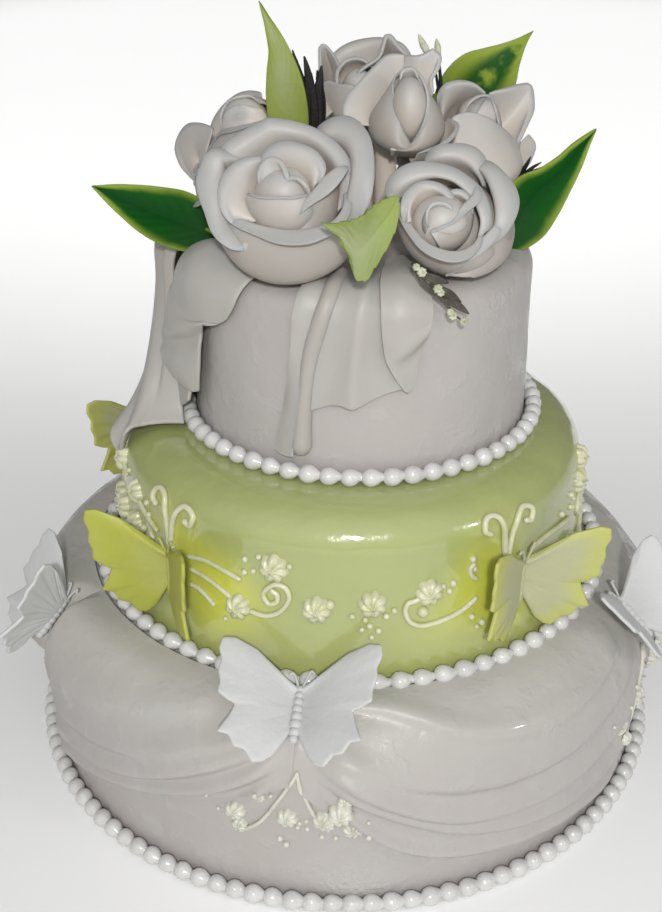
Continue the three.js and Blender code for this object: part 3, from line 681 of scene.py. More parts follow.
def spreadTree():
    sockets = [
        ("Geometry", "NodeSocketGeometry"), ("Shape", "NodeSocketObject"), ("Size", "NodeSocketFloat"),
        ("Uneven", "NodeSocketFloat"), ("Seed", "NodeSocketInt"), ("Material", "NodeSocketMaterial"),
    ]
    tree = treeWith("spreadShapes", sockets)
    given = tree.nodes.new("NodeGroupInput").outputs
    shape = geometryNode(tree, "GeometryNodeObjectInfo", values={"Object": given["Shape"]})
    size = geometryNode(tree, "GeometryNodeInputNamedAttribute", {"data_type": "FLOAT"}, {"Name": "size"})
    out = geometryNode(tree, "GeometryNodeInputNamedAttribute", {"data_type": "FLOAT_VECTOR"}, {"Name": "out"})
    facing = geometryNode(
        tree, "FunctionNodeAlignRotationToVector", {"axis": "Z"}, {"Vector": out.outputs[0]})
    turned = geometryNode(
        tree, "FunctionNodeRandomValue", {"data_type": "FLOAT_VECTOR"},
        {"Seed": given["Seed"], 0: (0.0, 0.0, 0.0), 1: (0.0, 0.0, turnFull)})
    rotation = geometryNode(
        tree, "FunctionNodeRotateRotation", {"rotation_space": "LOCAL"},
        {0: facing.outputs[0], 1: turned.outputs[0]})
    least = geometryNode(tree, "ShaderNodeMath", {"operation": "SUBTRACT"}, {0: 1.0, 1: given["Uneven"]})
    vary = geometryNode(
        tree, "FunctionNodeRandomValue", {"data_type": "FLOAT"},
        {"Seed": given["Seed"], 2: least.outputs[0], 3: 1.0})
    scaled = geometryNode(
        tree, "ShaderNodeMath", {"operation": "MULTIPLY"}, {0: size.outputs[0], 1: vary.outputs[1]})
    whole = geometryNode(
        tree, "ShaderNodeMath", {"operation": "MULTIPLY"}, {0: scaled.outputs[0], 1: given["Size"]})
    spread = geometryNode(
        tree, "GeometryNodeInstanceOnPoints",
        values={"Points": given["Geometry"], "Instance": shape.outputs["Geometry"],
                "Rotation": rotation.outputs[0], "Scale": whole.outputs[0]})
    closeTree(tree, spread.outputs[0], given["Material"])
    return tree


def runTree(holder, tree, inputs, name):  # the result as a plain mesh
    modifier = holder.modifiers.new(tree.name, "NODES")
    modifier.node_group = tree
    sockets = {item.name: item.identifier for item in tree.interface.items_tree if item.in_out == "INPUT"}
    for label, value in inputs.items():
        modifier[sockets[label]] = value
    bpy.context.view_layer.update()
    seen = holder.evaluated_get(bpy.context.evaluated_depsgraph_get())
    mesh = bpy.data.meshes.new_from_object(seen)
    mesh.name = name
    holder.modifiers.remove(modifier)
    piece = bpy.data.objects.new(name, mesh)
    bpy.context.scene.collection.objects.link(piece)
    bpy.data.objects.remove(holder)
    return piece


def beadShape():
    mesh = bpy.data.meshes.new("bead")
    made = bmesh.new()
    bmesh.ops.create_icosphere(made, subdivisions=2, radius=1.0)
    for face in made.faces:
        face.smooth = True
    made.to_mesh(mesh)
    made.free()
    return bpy.data.objects.new("bead", mesh)


pearlSizes = {"radius": 5.3, "cord": 2.1, "uneven": 0.08, "tilt": 0.14, "around": 14}
# How the piped pearl swells along the border, and ends in a tail; in pearl radii
pearlLine = [(-1.14, 0), (-1.10, 0.24), (-0.96, 0.56), (-0.68, 0.84), (-0.28, 1.0), (0.16, 0.98), (0.56, 0.82),
             (0.88, 0.60), (1.14, 0.44), (1.34, 0.34), (1.42, 0)]


def pearlShape():
    clay = Clay()
    turns = np.linspace(0, turnFull, pearlSizes["around"] + 1)
    x, r = np.array(pearlLine, float).T
    points = np.stack([
        np.broadcast_to(x[:, None], (len(x), len(turns))), r[:, None] * np.cos(turns), r[:, None] * np.sin(turns),
    ], -1)
    clay.grid(points / metre)
    piece = clay.finish("pearl", "pearl")
    bpy.context.scene.collection.objects.unlink(piece)
    return piece


# node, tier, ring radius, height, number of pearls and seed
borders = [
    ("border_bottom", "bottom", 198.0, 5.3, 114, 11), ("border_middle", "middle", 156.1, 123.6, 81, 12),
    ("border_top", "top", 104.0, 218.0, 58, 13),
]
shapes = {"bead": beadShape(), "pearl": pearlShape()}
pearlTree = borderTree()
for node, level, radius, high, count, seed in borders:
    tier = tiers[level]
    centre = Vector((tier["x"], tier["y"], high)) * metre
    holder = bpy.data.objects.new(node + "_holder", bpy.data.meshes.new(node + "_holder"))
    bpy.context.scene.collection.objects.link(holder)
    inputs = {
        "Shape": shapes["pearl"], "Ring radius": radius * metre, "Count": count,
        "Pearl radius": pearlSizes["radius"] * metre, "Cord radius": pearlSizes["cord"] * metre,
        "Uneven": pearlSizes["uneven"], "Tilt": pearlSizes["tilt"], "Centre": centre, "Seed": seed,
        "Material": paints["pearl"],
    }
    keep(runTree(holder, pearlTree, inputs, level + "Pearls"), "pearl_icing", node)
print("pearl borders ready")


blossomSizes = {"petals": 7, "notch": 0.20, "swirl": 0.5, "rise": 0.62, "eye": 0.30, "around": 56, "rings": 9}


def blossomShape():  # a drop flower piped with a star tip, one unit in radius
    b = blossomSizes
    clay = Clay()
    turn = np.linspace(0, turnFull, b["around"] + 1)
    rings = np.linspace(0, 1, b["rings"])
    a, t = np.meshgrid(turn, rings)
    lobe = np.abs(np.cos((a + b["swirl"] * t) * b["petals"] / 2)) ** 0.8
    radius = t * (1 - b["notch"] * (1 - lobe) * t)
    ridge = 0.62 + 0.38 * lobe
    high = b["rise"] * np.sin(np.clip(1.15 - t, 0, 1) * 1.75) ** 0.8 * ridge
    high = high - 0.16 * np.exp(-((t / 0.36) ** 2)) + b["eye"] * np.exp(-((t / 0.17) ** 2))
    high[-1] = -0.15
    front = np.stack([radius * np.cos(a), radius * np.sin(a), high], -1)
    back = front * np.array([1, 1, 0]) + np.array([0, 0, -0.3])
    clay.grid(front / metre)
    clay.grid(back / metre, flip=True)
    clay.grid(np.concatenate([front[-1:], back[-1:]]) / metre)
    piece = clay.finish("blossom", "milk")
    bpy.context.scene.collection.objects.unlink(piece)
    return piece


shapes["blossom"] = blossomShape()
scatterTree = spreadTree()


def scatter(name, shape, spots, look, uneven, seed):  # spots hold a point, an outward direction and a size
    mesh = bpy.data.meshes.new(name + "_points")
    mesh.from_pydata([(np.asarray(point) * metre).tolist() for point, out, size in spots], [], [])
    out = mesh.attributes.new("out", "FLOAT_VECTOR", "POINT")
    out.data.foreach_set("vector", np.array([o for p, o, s in spots], np.float32).ravel())
    size = mesh.attributes.new("size", "FLOAT", "POINT")
    size.data.foreach_set("value", np.array([s for p, o, s in spots], np.float32))
    holder = bpy.data.objects.new(name + "_holder", mesh)
    bpy.context.scene.collection.objects.link(holder)
    inputs = {
        "Shape": shapes[shape], "Size": metre, "Uneven": uneven, "Seed": seed, "Material": paints[look],
    }
    return runTree(holder, scatterTree, inputs, name)


# Places are azimuth and height between the two green butterflies at the front, which frontSpan gives;
# feelers, bulbs and the dots besides them count from one butterfly
frontSpan = (-42.5, 41.4)
middlePiping = {
    "blossom": 8.6, "dot": 2.2, "stem": 1.4, "scroll": 1.5, "feeler": 1.75, "bulb": 1.9,
    "flowers": [(-24.4, 153), (-16, 181), (-6.3, 159.4), (5.9, 163.3), (18.7, 167)],
    "scrolls": [
        [(-21, 152.6), (-17.5, 152.2), (-14.4, 156), (-12.4, 164), (-13.1, 170), (-15.4, 171.7), (-17.4, 168.5),
         (-18.3, 164.3), (-17.1, 159.6), (-15.3, 161.2), (-15.1, 165.4), (-16.3, 167.5)],
        [(16.4, 164.6), (15.0, 163.4), (13.7, 162.5), (13.1, 158), (14.2, 151.6), (17.1, 148.6), (22.4, 150),
         (26.6, 153), (29.9, 157.3)],
        [(29.4, 178), (28.6, 176), (28.9, 172), (30, 169)],
    ],
    "stems": [
        [(-38.6, 172), (-33.5, 174), (-27.8, 172), (-24.3, 170)],
        [(-37.6, 165), (-33.4, 164), (-29.5, 161), (-26.7, 158)],
        [(-37.4, 156), (-34.4, 155), (-30.7, 150)],
    ],
    "dots": [
        (-23, 182.6, 1), (-23.1, 174.8, 1), (-20.9, 176.7, 0.8), (-27.4, 144, 0.8), (-3.4, 163, 1.5),
        (1.5, 156.6, 1), (8.9, 156, 1), (10.7, 159, 0.9), (4.3, 154.6, 0.9), (5.3, 151, 1), (3.6, 149, 0.8),
        (7.2, 148, 0.9), (5.7, 144.5, 0.8), (24.4, 169.6, 1.1), (23.4, 165.5, 0.9), (22, 169, 0.9),
        (17.1, 156.4, 1.7), (28.8, 147, 0.9), (29.9, 140.5, 0.8), (31.3, 142, 0.9), (-19.6, 186, 0.8),
        (-12.4, 183.5, 0.8),
    ],
    "feelers": [
        [(-1.5, 173), (-2.9, 175), (-4, 196), (-5.9, 201.5), (-8.3, 201), (-9, 196), (-7.6, 193.5)],
        [(-1.6, 174), (-2.1, 176), (-1, 190.5), (1.9, 200), (5.2, 198), (4.6, 191.9), (3, 193)],
    ],
    "besides": [(-11.8, 181), (-11.4, 175)],
    "bulbs": [(-7.6, 193.5), (3, 193)],
    "sideFlowers": [(-61, 188), (-74, 194), (76.5, 194)],
    "sideStems": [[(-50.5, 176), (-55, 180), (-59, 184)], [(-68.5, 190), (-71, 193), (-74, 194)]],
    "sideDots": [(59, 178, 1.1), (-66.5, 195, 1), (-55, 188, 0.9)],
}


def overSpan(azimuth, span):  # carries a front azimuth to another gap between two green butterflies
    part = (azimuth - frontSpan[0]) / (frontSpan[1] - frontSpan[0])
    return span[0] + part * (span[1] - span[0])


def pipe(clay, tier, line, radius, pieces=9, sink=0.35):
    spots = np.array(line, float)
    count = pieces * (len(line) - 1) + 1
    path = smoothLine(spots, np.linspace(0, 1, count))
    clay.tube(wallSpot(tier, path[:, 0], path[:, 1], radius * (1 - sink)), radius, 10)


def spotOn(tier, azimuth, z, size, lift):
    point, normal, forward, side = skinFrame(tier, azimuth, float(runAt(tier, np.asarray(float(z)))), lift)
    return point, normal, size


def pipeMiddle():
    tier, p = tiers["middle"], middlePiping
    clay, flowers, dots = Clay(), [], []
    places = sorted(b["azimuth"] for b in greenButterflies)
    for k, start in enumerate(places):
        span = (start, places[(k + 1) % len(places)] + (360 if k == len(places) - 1 else 0))
        for line in p["scrolls"] + p["stems"]:
            radius = p["scroll"] if line in p["scrolls"] else p["stem"]
            pipe(clay, tier, [(overSpan(a, span), z) for a, z in line], radius)
        for line in p["feelers"]:
            pipe(clay, tier, [(start + a, z) for a, z in line], p["feeler"])
        for a, z in p["flowers"]:
            flowers.append(spotOn(tier, overSpan(a, span), z, p["blossom"], 0.4))
        for a, z, size in p["dots"]:
            dots.append(spotOn(tier, overSpan(a, span), z, p["dot"] * size, 0.5))
        for a, z in p["besides"]:
            dots.append(spotOn(tier, start + a, z, p["dot"], 0.5))
        for a, z in p["bulbs"]:
            dots.append(spotOn(tier, start + a, z, p["bulb"], 1.0))
    for line in p["sideStems"]:
        pipe(clay, tier, line, p["stem"])
    flowers += [spotOn(tier, a, z, p["blossom"], 0.4) for a, z in p["sideFlowers"]]
    dots += [spotOn(tier, a, z, p["dot"] * size, 0.5) for a, z, size in p["sideDots"]]
    keep(clay.finish("middleScrolls", "cream"), "pistachio_icing")
    keep(scatter("middleBlossoms", "blossom", flowers, "cream", 0.1, 21), "pistachio_icing")
    keep(scatter("middleDots", "bead", dots, "cream", 0.2, 22), "pistachio_icing")


pipeMiddle()


# Azimuth from the white butterfly above, height and size
bottomPiping = {
    "blossom": 6.6, "dot": 1.7, "stem": 1.15,
    "stems": [
        [(0.7, 93), (-0.4, 86), (-1.8, 77), (-5.2, 57), (-8.4, 47)],
        [(0.7, 93), (1.2, 86), (1.8, 78), (3.0, 67), (4.2, 58)],
    ],
    "flowers": [
        (-9.6, 60, 1.05), (-8.9, 50.5, 0.75), (-1.0, 61.6, 1.05), (-5.4, 73.5, 0.55), (4.6, 62.0, 1.1),
        (6.2, 67.5, 1.0), (5.2, 59.5, 0.85), (7.4, 72.5, 1.2), (9.3, 57, 1.1), (8.0, 79.5, 0.7),
    ],
    "dots": [
        (-5.6, 79.9, 1), (-3.6, 75.5, 0.9), (0.6, 55.5, 0.8), (-2.3, 45.6, 1.1), (-1.3, 42, 1.2),
        (0.9, 58.4, 0.8), (2.1, 55.0, 0.9), (-8.6, 73, 0.8), (-13.8, 70, 0.8), (2.0, 60.5, 0.8), (4.4, 50, 0.8),
        (6.6, 49.5, 1.0), (11.6, 57.1, 1.1), (11.6, 65, 0.8), (-12.6, 58, 0.8),
    ],
}
whiteButterflies = [
    {"node": "butterfly_white_1", "beaded": True, "azimuth": -7.7, "run": 17, "lift": 6.2, "left": 18, "right": 25,
     "lean": -1, "size": 1},
    {"node": "butterfly_white_2", "beaded": True, "azimuth": 64.2, "run": 26, "lift": 7.2, "left": 26, "right": 64,
     "lean": 0, "size": 0.9},
    {"node": "butterfly_white_3", "beaded": True, "azimuth": 141, "run": 27, "lift": 7.2, "left": 30, "right": 45,
     "lean": 0, "size": 0.95},
    {"node": "butterfly_white_4", "beaded": True, "azimuth": -142, "run": 26, "lift": 7.2, "left": 45, "right": 30,
     "lean": 0, "size": 0.95},
    {"node": "butterfly_white_5", "beaded": True, "azimuth": -63.6, "run": 29, "lift": 8.6, "left": 22, "right": 61,
     "lean": 0, "size": 0.98, "drift": -12},
]


swagCloth = {"start": 2.2, "rim": 46, "inner": 2.0, "thick": 2.0, "side": -0.15, "deep": 1.8, "soft": 1.15}
# A pleat is a line of azimuth and height, then how far it stands out and reaches above and below
leftPleats = [
    ([(-60, 84), (-50, 90), (-36, 102), (-22, 112)], 1.0, 9, 4),
    ([(-59, 62), (-45, 70), (-33, 82), (-22, 98), (-14, 106)], 1.4, 8, 3),
    ([(-61, 46), (-45, 55), (-34.6, 66), (-26, 80.5), (-17, 95), (-11, 104)], 2.6, 9, 2.6),
    ([(-60, 35), (-45.6, 45), (-35, 56), (-24.4, 69), (-15.7, 85), (-9.5, 97)], 2.6, 6, 2.2),
    ([(-56, 30), (-40, 40), (-30.5, 48), (-22.5, 58), (-16.6, 68), (-10, 88)], 2.2, 4, 2.0),
]
rightPleats = [
    ([(-3, 117), (4.4, 117), (12, 114), (19.4, 105), (30, 99), (44, 99), (58, 108)], 1.6, 8, 3.5),
    ([(-4, 104), (6, 92), (16, 82), (28, 76), (40, 77), (54, 88), (62, 100)], 1.6, 8, 3),
    ([(-4, 98), (4, 85), (10.6, 71), (19.3, 60), (29, 55), (38, 55), (46, 59), (56, 68), (62, 84)], 2.8, 9, 2.6),
    ([(-4, 93), (4, 76), (9, 66), (17.7, 52), (29.5, 41), (42, 38), (54, 42), (61, 66)], 2.6, 8, 2.4),
    ([(-3, 82), (4, 56), (10, 42), (18, 34), (30, 29), (42, 27), (56, 25), (62, 52)], 2.2, 5, 2.0),
]
# The pleats at the back run from 0 to 1 between two white butterflies
backPleats = [
    ([(0.04, 108), (0.3, 92), (0.55, 88), (0.8, 98), (0.97, 110)], 1.5, 8, 3.5),
    ([(0.04, 98), (0.25, 76), (0.5, 68), (0.75, 78), (0.96, 100)], 2.0, 9, 3),
    ([(0.04, 88), (0.2, 62), (0.5, 52), (0.75, 62), (0.96, 92)], 2.7, 9, 2.6),
    ([(0.04, 76), (0.2, 48), (0.5, 40), (0.75, 50), (0.96, 84)], 2.6, 8, 2.4),
    ([(0.05, 62), (0.2, 36), (0.5, 31), (0.75, 38), (0.96, 76)], 2.2, 5, 2.0),
]
swags = [
    {"node": "swag_1", "from": -63.6, "to": -7.7, "hem": [72, 37, 40, 47, 54, 63, 75, 86], "puff": (9, 0)},
    {"node": "swag_2", "from": -7.7, "to": 64.2, "hem": [86, 57, 38, 30, 26, 25, 30, 62], "puff": (0, 0)},
    {"node": "swag_3", "from": 64.2, "to": 141, "hem": [86, 58, 39, 30, 30, 40, 76, 86], "puff": (0, 0)},
    {"node": "swag_4", "from": 141, "to": 218, "hem": [72, 36, 30, 29, 31, 42, 76, 86], "puff": (0, 0)},
    {"node": "swag_5", "from": 218, "to": 296.4, "hem": [72, 36, 30, 29, 31, 42, 76, 86], "puff": (0, 10)},
]
wetFolds = [(7, 44, 5, 7, 0.9), (13, 36, 5, 4, 0.6), (13, 84, 6, 5, 0.5), (-4, 70, 3, 8, 0.5),
            (36, 96, 4, 4, 0.7)]  # as glowSpots


def pleatsOf(swag):
    if swag["node"] == "swag_1":
        return leftPleats
    if swag["node"] == "swag_2":
        return rightPleats
    span = swag["to"] - swag["from"]
    return [([(swag["from"] + part * span, z) for part, z in line], *rest) for line, *rest in backPleats]


def swagRelief(swag, azimuth, run):
    tier, c = tiers["bottom"], swagCloth
    total = 0
    for line, height, above, below in pleatsOf(swag):
        azimuths, heights = np.array(line, float).T
        part = (azimuth - azimuths[0]) / (azimuths[-1] - azimuths[0])
        spots = (azimuths - azimuths[0]) / (azimuths[-1] - azimuths[0])
        even = np.interp(np.linspace(0, 1, 24), spots, heights)
        for _ in range(2):
            even[1:-1] = (even[:-2] + even[2:] + 2 * even[1:-1]) / 4
        away = run - runAt(tier, np.interp(part, np.linspace(0, 1, 24), even))
        reach = np.where(away < 0, above, below * c["soft"])
        ends = smoothStep(part, -0.02, 0.10) * smoothStep(1 - part, -0.02, 0.10)
        total = total + c["deep"] * height * np.exp(-((away / reach) ** 2)) * ends
    return total


def swagLift(swag, azimuth, run, u, v):  # the middle of the cloth over the tier
    c = swagCloth
    puff = (swag["puff"][0] * (1 - u) ** 2 + swag["puff"][1] * u ** 2) * smoothStep(v, 0.0, 0.25)
    puff = puff * (1 - 0.65 * smoothStep(v, 0.35, 0.85)) * smoothStep(u * (1 - u), 0.0, 0.05)
    return c["inner"] + c["thick"] / 2 + puff + swagRelief(swag, azimuth, run)


def clothOver(azimuth, z):  # how high the swags stand over a spot of the bottom tier
    tier = tiers["bottom"]
    for swag in swags:
        turned = (azimuth - swag["from"]) % 360 + swag["from"]
        u = (turned - swag["from"]) / (swag["to"] - swag["from"])
        if u <= 1:
            hem = float(smoothLine(swag["hem"], np.array([u]))[0])
            if z < hem:
                return 0.0
            run = float(runAt(tier, np.asarray(float(z))))
            low = float(runAt(tier, np.asarray(hem)))
            v = min(0.5 + 0.5 * (run - swagCloth["rim"]) / max(low - swagCloth["rim"], 1), 1)
            return float(swagLift(swag, turned, run, u, v)) + swagCloth["thick"] / 2
    return 0.0


def swagPiece(swag, seed):
    tier, c = tiers["bottom"], swagCloth

    def pointAt(u, v):
        azimuth = swag["from"] + c["side"] + (swag["to"] - swag["from"] - 2 * c["side"]) * u
        hem = runAt(tier, smoothLine(swag["hem"], u))
        onRim = c["start"] + (c["rim"] - c["start"]) * np.minimum(v * 2, 1)
        run = np.where(v <= 0.5, onRim, c["rim"] + (hem - c["rim"]) * (v * 2 - 1))
        flat = skin(tier, azimuth, run, swagLift(swag, azimuth, run, u, v))
        return flat + outwards(tier, azimuth, run) * ripples(flat, 70, seed)[..., None] * 0.35

    clay = Clay()
    clay.sheet(pointAt, c["thick"], 190, 120, 170, 110)
    piece = clay.finish("swag" + swag["node"][-1], "swagIcing")
    flat = np.empty(len(piece.data.vertices) * 3)
    piece.data.vertices.foreach_get("co", flat)
    x, y, z = flat.reshape(-1, 3).T / metre
    wet = glowAt(np.degrees(np.arctan2(x - tier["x"], tier["y"] - y)), z, wetFolds)
    piece.data.attributes.new("glow", "FLOAT", "POINT").data.foreach_set("value", wet)
    return piece


for number, swag in enumerate(swags):
    keep(swagPiece(swag, 31 + number), "ivory_icing", swag["node"])
print("swags ready")


drapeCloth = {"inner": 0.8, "thick": 2.2, "wave": 0.45}
# Rows of azimuth, run and lift from the roses down; a run of 19 is where the rim meets the wall
frontCloths = [
    [  # the fan in the middle
        [(-8, -14, 1), (-5, -14, 1), (-1, -14, 2), (2, -14, 3), (5, -14, 2), (8, -14, 1), (10, -14, 1)],
        [(-9, 6, 1), (-6, 6, 1), (-2.5, 6, 2.4), (0.5, 6, 3.6), (3, 6, 1.6), (6, 6, 1), (9, 6, 2)],
        [(-12, 22, 1), (-7.5, 22, 0.8), (-3.8, 22, 2.4), (-1, 22, 4), (3, 22, 1.6), (7, 22, 1), (11, 22, 2)],
        [(-14.5, 42, 1), (-9.5, 42, 0.8), (-5.4, 42, 2), (-2.2, 42, 4), (2.2, 42, 1.6), (7.5, 42, 1), (12, 42, 2)],
        [(-15.8, 70, 1), (-10.5, 66, 0.6), (-6.4, 64.5, 2), (-2.6, 65.5, 4), (2.4, 62, 1.4), (7.5, 58, 1.2),
         (12.5, 55, 2)],
    ],
    [  # the strip at the left of the roll
        [(-21.8, -12, 1), (-18, -12, 2), (-13, -12, 1)],
        [(-19.6, 5, 2.6), (-17, 5, 2.8), (-12.5, 5, 1)],
        [(-20.6, 19, 3), (-18, 19, 2.6), (-14, 19, 0.8)],
        [(-21.4, 38, 2.4), (-19.3, 38, 2.2), (-16, 38, 1.2)],
        [(-23.3, 60, -0.2), (-21, 60, 1.8), (-18, 60, 3.2)],
        [(-25.6, 80, -0.6), (-23, 80, 1.6), (-19.5, 80, 3.6)],
        [(-27.6, 97, -0.7), (-24.6, 98, 1.2), (-20.5, 97, 3.2)],
    ],
    [  # the folded flap at the right
        [(12, -30, 3), (20, -30, 4), (28, -30, 3)],
        [(6.5, -5, 4), (14, -5, 6), (22, -5, 4)],
        [(4.8, 10, 4), (12, 10, 6.4), (20.3, 9, 4.6)],
        [(5.2, 25, 4.4), (11.5, 22, 7), (19.5, 18, 5.4)],
        [(6.2, 37, 5), (12.2, 31, 8), (18.6, 23, 6.4)],
        [(7.2, 41.5, 5.6), (12.4, 38, 4.4), (17.4, 31, 3)],
        [(9.2, 48.5, 4.8), (12.6, 48, 3.8), (15.8, 46, 2.6)],
        [(12.0, 56, 4), (13.2, 57.5, 3.2), (14.5, 56.5, 2.4)],
    ],
]
frontRoll = {
    "line": [(-9.7, -15), (-10, 6), (-12.3, 19), (-14.4, 31), (-16, 43), (-17.4, 60), (-18.3, 78), (-18.6, 91)],
    "radius": [5.2, 5.0, 4.9, 4.9, 4.8, 4.7, 5.0, 5.8], "lift": 1.6,
}
leftCloths = [
    [  # the broad panel and the flap that folds down from it
        [(-72, -26, 1), (-66, -26, 3), (-60, -26, 4), (-50, -26, 3), (-42, -26, 1)],
        [(-74, -4, 1), (-67, -4, 6), (-58, -4, 8), (-48, -4, 6), (-36, -4, 1)],
        [(-77, 8, 2), (-69, 8, 8), (-60, 8, 10), (-50, 8, 7), (-38, 8, 1.4)],
        [(-80, 22, 4), (-71, 22, 10), (-62, 22, 10), (-53, 22, 7), (-42.5, 23, 1.6)],
        [(-82, 32, 9), (-73, 32, 12), (-64, 34, 10), (-56, 35, 7), (-47.5, 32, 2.4)],
        [(-82, 46, 13), (-74, 44.5, 14.5), (-66.5, 41.5, 13), (-59.5, 38, 10), (-53, 34.5, 7)],
        [(-81.5, 57, 16.5), (-74, 52.5, 15.6), (-67, 47.5, 13), (-60.5, 42.5, 9), (-54.5, 37.5, 5.6)],
        [(-80.5, 62, 16.6), (-74, 57.5, 13.4), (-68, 52.5, 9.6), (-61.5, 47.5, 6.2), (-56.5, 42, 4.4)],
        [(-78, 69, 18.5), (-73, 67, 15), (-68, 64, 12), (-62.5, 60, 8), (-57.6, 52, 5.2)],
        [(-74.5, 74, 15.5), (-71, 73.5, 13.5), (-67, 72, 11.5), (-63, 70, 9), (-58.6, 65, 5.4)],
        [(-67, 79.5, 10), (-65.5, 79.8, 9.2), (-63.5, 80.6, 8), (-62, 81, 7), (-60, 79.5, 5.2)],
    ],
    [  # the tip that shows under the flap
        [(-82, 50, 11), (-75, 56, 9), (-66, 58, 6)],
        [(-81, 70, 11.6), (-74, 74, 9), (-65, 74, 6)],
        [(-79.5, 86, 11.4), (-73, 88, 9.4), (-64, 82, 7)],
        [(-78, 97, 11.2), (-72, 97.6, 10), (-64.5, 88, 8)],
    ],
]
backDrape = {
    "start": 16, "rims": [156, 160, 164, 168, 171, 174, 178, 182, 186],
    "columns": [
        [150, 268, 2], [155, 262, 7], [161, 258, 2.5], [166, 256, 7], [171, 240, 3], [176, 232, 8],
        [181, 236, 3], [187, 262, 6], [193, 266, 2],
    ],
}


def clothSheet(clay, rows, seed, columns=64, lines=72):
    tier, c = tiers["top"], drapeCloth
    grid = np.array(rows, float)
    down = knotsOf(grid[:, grid.shape[1] // 2] * np.array([1.7, 1, 1]))

    def pointAt(u, v):
        across = smoothLine(grid.transpose(1, 0, 2), u[0])
        spots = smoothLine(across.transpose(1, 0, 2), v[:, 0], down)
        lift = c["inner"] + c["thick"] / 2 + np.maximum(spots[..., 2], -0.7)
        point = skin(tier, spots[..., 0], spots[..., 1], lift)
        wave = ripples(point, 34, seed)[..., None] * c["wave"]
        return point + outwards(tier, spots[..., 0], spots[..., 1]) * wave

    clay.sheet(pointAt, c["thick"], 45, 90, columns, lines)


def frontDrape():
    clay = Clay()
    for number, rows in enumerate(frontCloths):
        clothSheet(clay, rows, 41 + number)
    part = np.linspace(0, 1, 60)
    line = smoothLine(np.array(frontRoll["line"], float), part)
    radius = smoothLine(np.array(frontRoll["radius"]), part)
    clay.tube(skin(tiers["top"], line[:, 0], line[:, 1], frontRoll["lift"]), radius, 28)
    return clay.finish("frontDrape", "drape")


def leftDrape():
    clay = Clay()
    for number, rows in enumerate(leftCloths):
        clothSheet(clay, rows, 46 + number, 72, 84)
    return clay.finish("leftDrape", "drape")


def rearDrape():
    tier, c = tiers["top"], drapeCloth
    columns = np.array(backDrape["columns"], float)
    rim = rimLength(tier)

    def pointAt(u, v):
        bottom = runAt(tier, smoothLine(columns[:, 1], u))
        run = -backDrape["start"] + (bottom + backDrape["start"]) * v
        down = smoothStep(run, rim * 0.3, 70)
        high = smoothLine(backDrape["rims"], u)
        azimuth = high + (smoothLine(columns[:, 0], u) - high) * down
        swell = np.maximum(smoothLine(columns[:, 2], u), 0.3) * np.clip(0.12 + run / rim * 0.7, 0.12, 1)
        return skin(tier, azimuth, run, c["inner"] + c["thick"] / 2 + swell)

    clay = Clay()
    clay.sheet(pointAt, c["thick"], 90, 95, 120, 64)
    return clay.finish("backDrape", "drape")


keep(frontDrape(), "petal_paste", "drape_front")
keep(leftDrape(), "petal_paste", "drape_left")
keep(rearDrape(), "petal_paste", "drape_back")

train = {
    "azimuths": [-79, -82, -87, -93, -100, -112], "lifts": [8, 13, 10, 20, 17, 5], "thick": 2.6,
    "hem": [
        [-94.4, -42.0, 218.6], [-108, -41.5, 218.2], [-119, -44, 217.6], [-127.5, -50, 216.4],
        [-134.5, -40, 198.5], [-141, -29, 204.5], [-136, -12, 211],
    ],
}


def trainPiece():
    tier = tiers["top"]
    low = float(runAt(tier, np.asarray(232.0)))

    def pointAt(u, v):
        wave = 2.2 * np.sin(u * turnFull * 2.5) * v
        lift = train["thick"] / 2 + drapeCloth["inner"] + smoothLine(train["lifts"], u) * np.minimum(v * 4, 1) + wave
        hung = skin(tier, smoothLine(train["azimuths"], u), -20 + (low + 20) * v, lift)
        flare = (np.maximum((v - 0.45) / 0.55, 0) ** 1.6)[..., None]
        return hung * (1 - flare) + smoothLine(train["hem"], u) * flare

    clay = Clay()
    clay.sheet(pointAt, train["thick"], 60, 120, 60, 60)
    return clay.finish("trainDrape", "drape")


keep(trainPiece(), "petal_paste", "drape_train")
print("drapes ready")


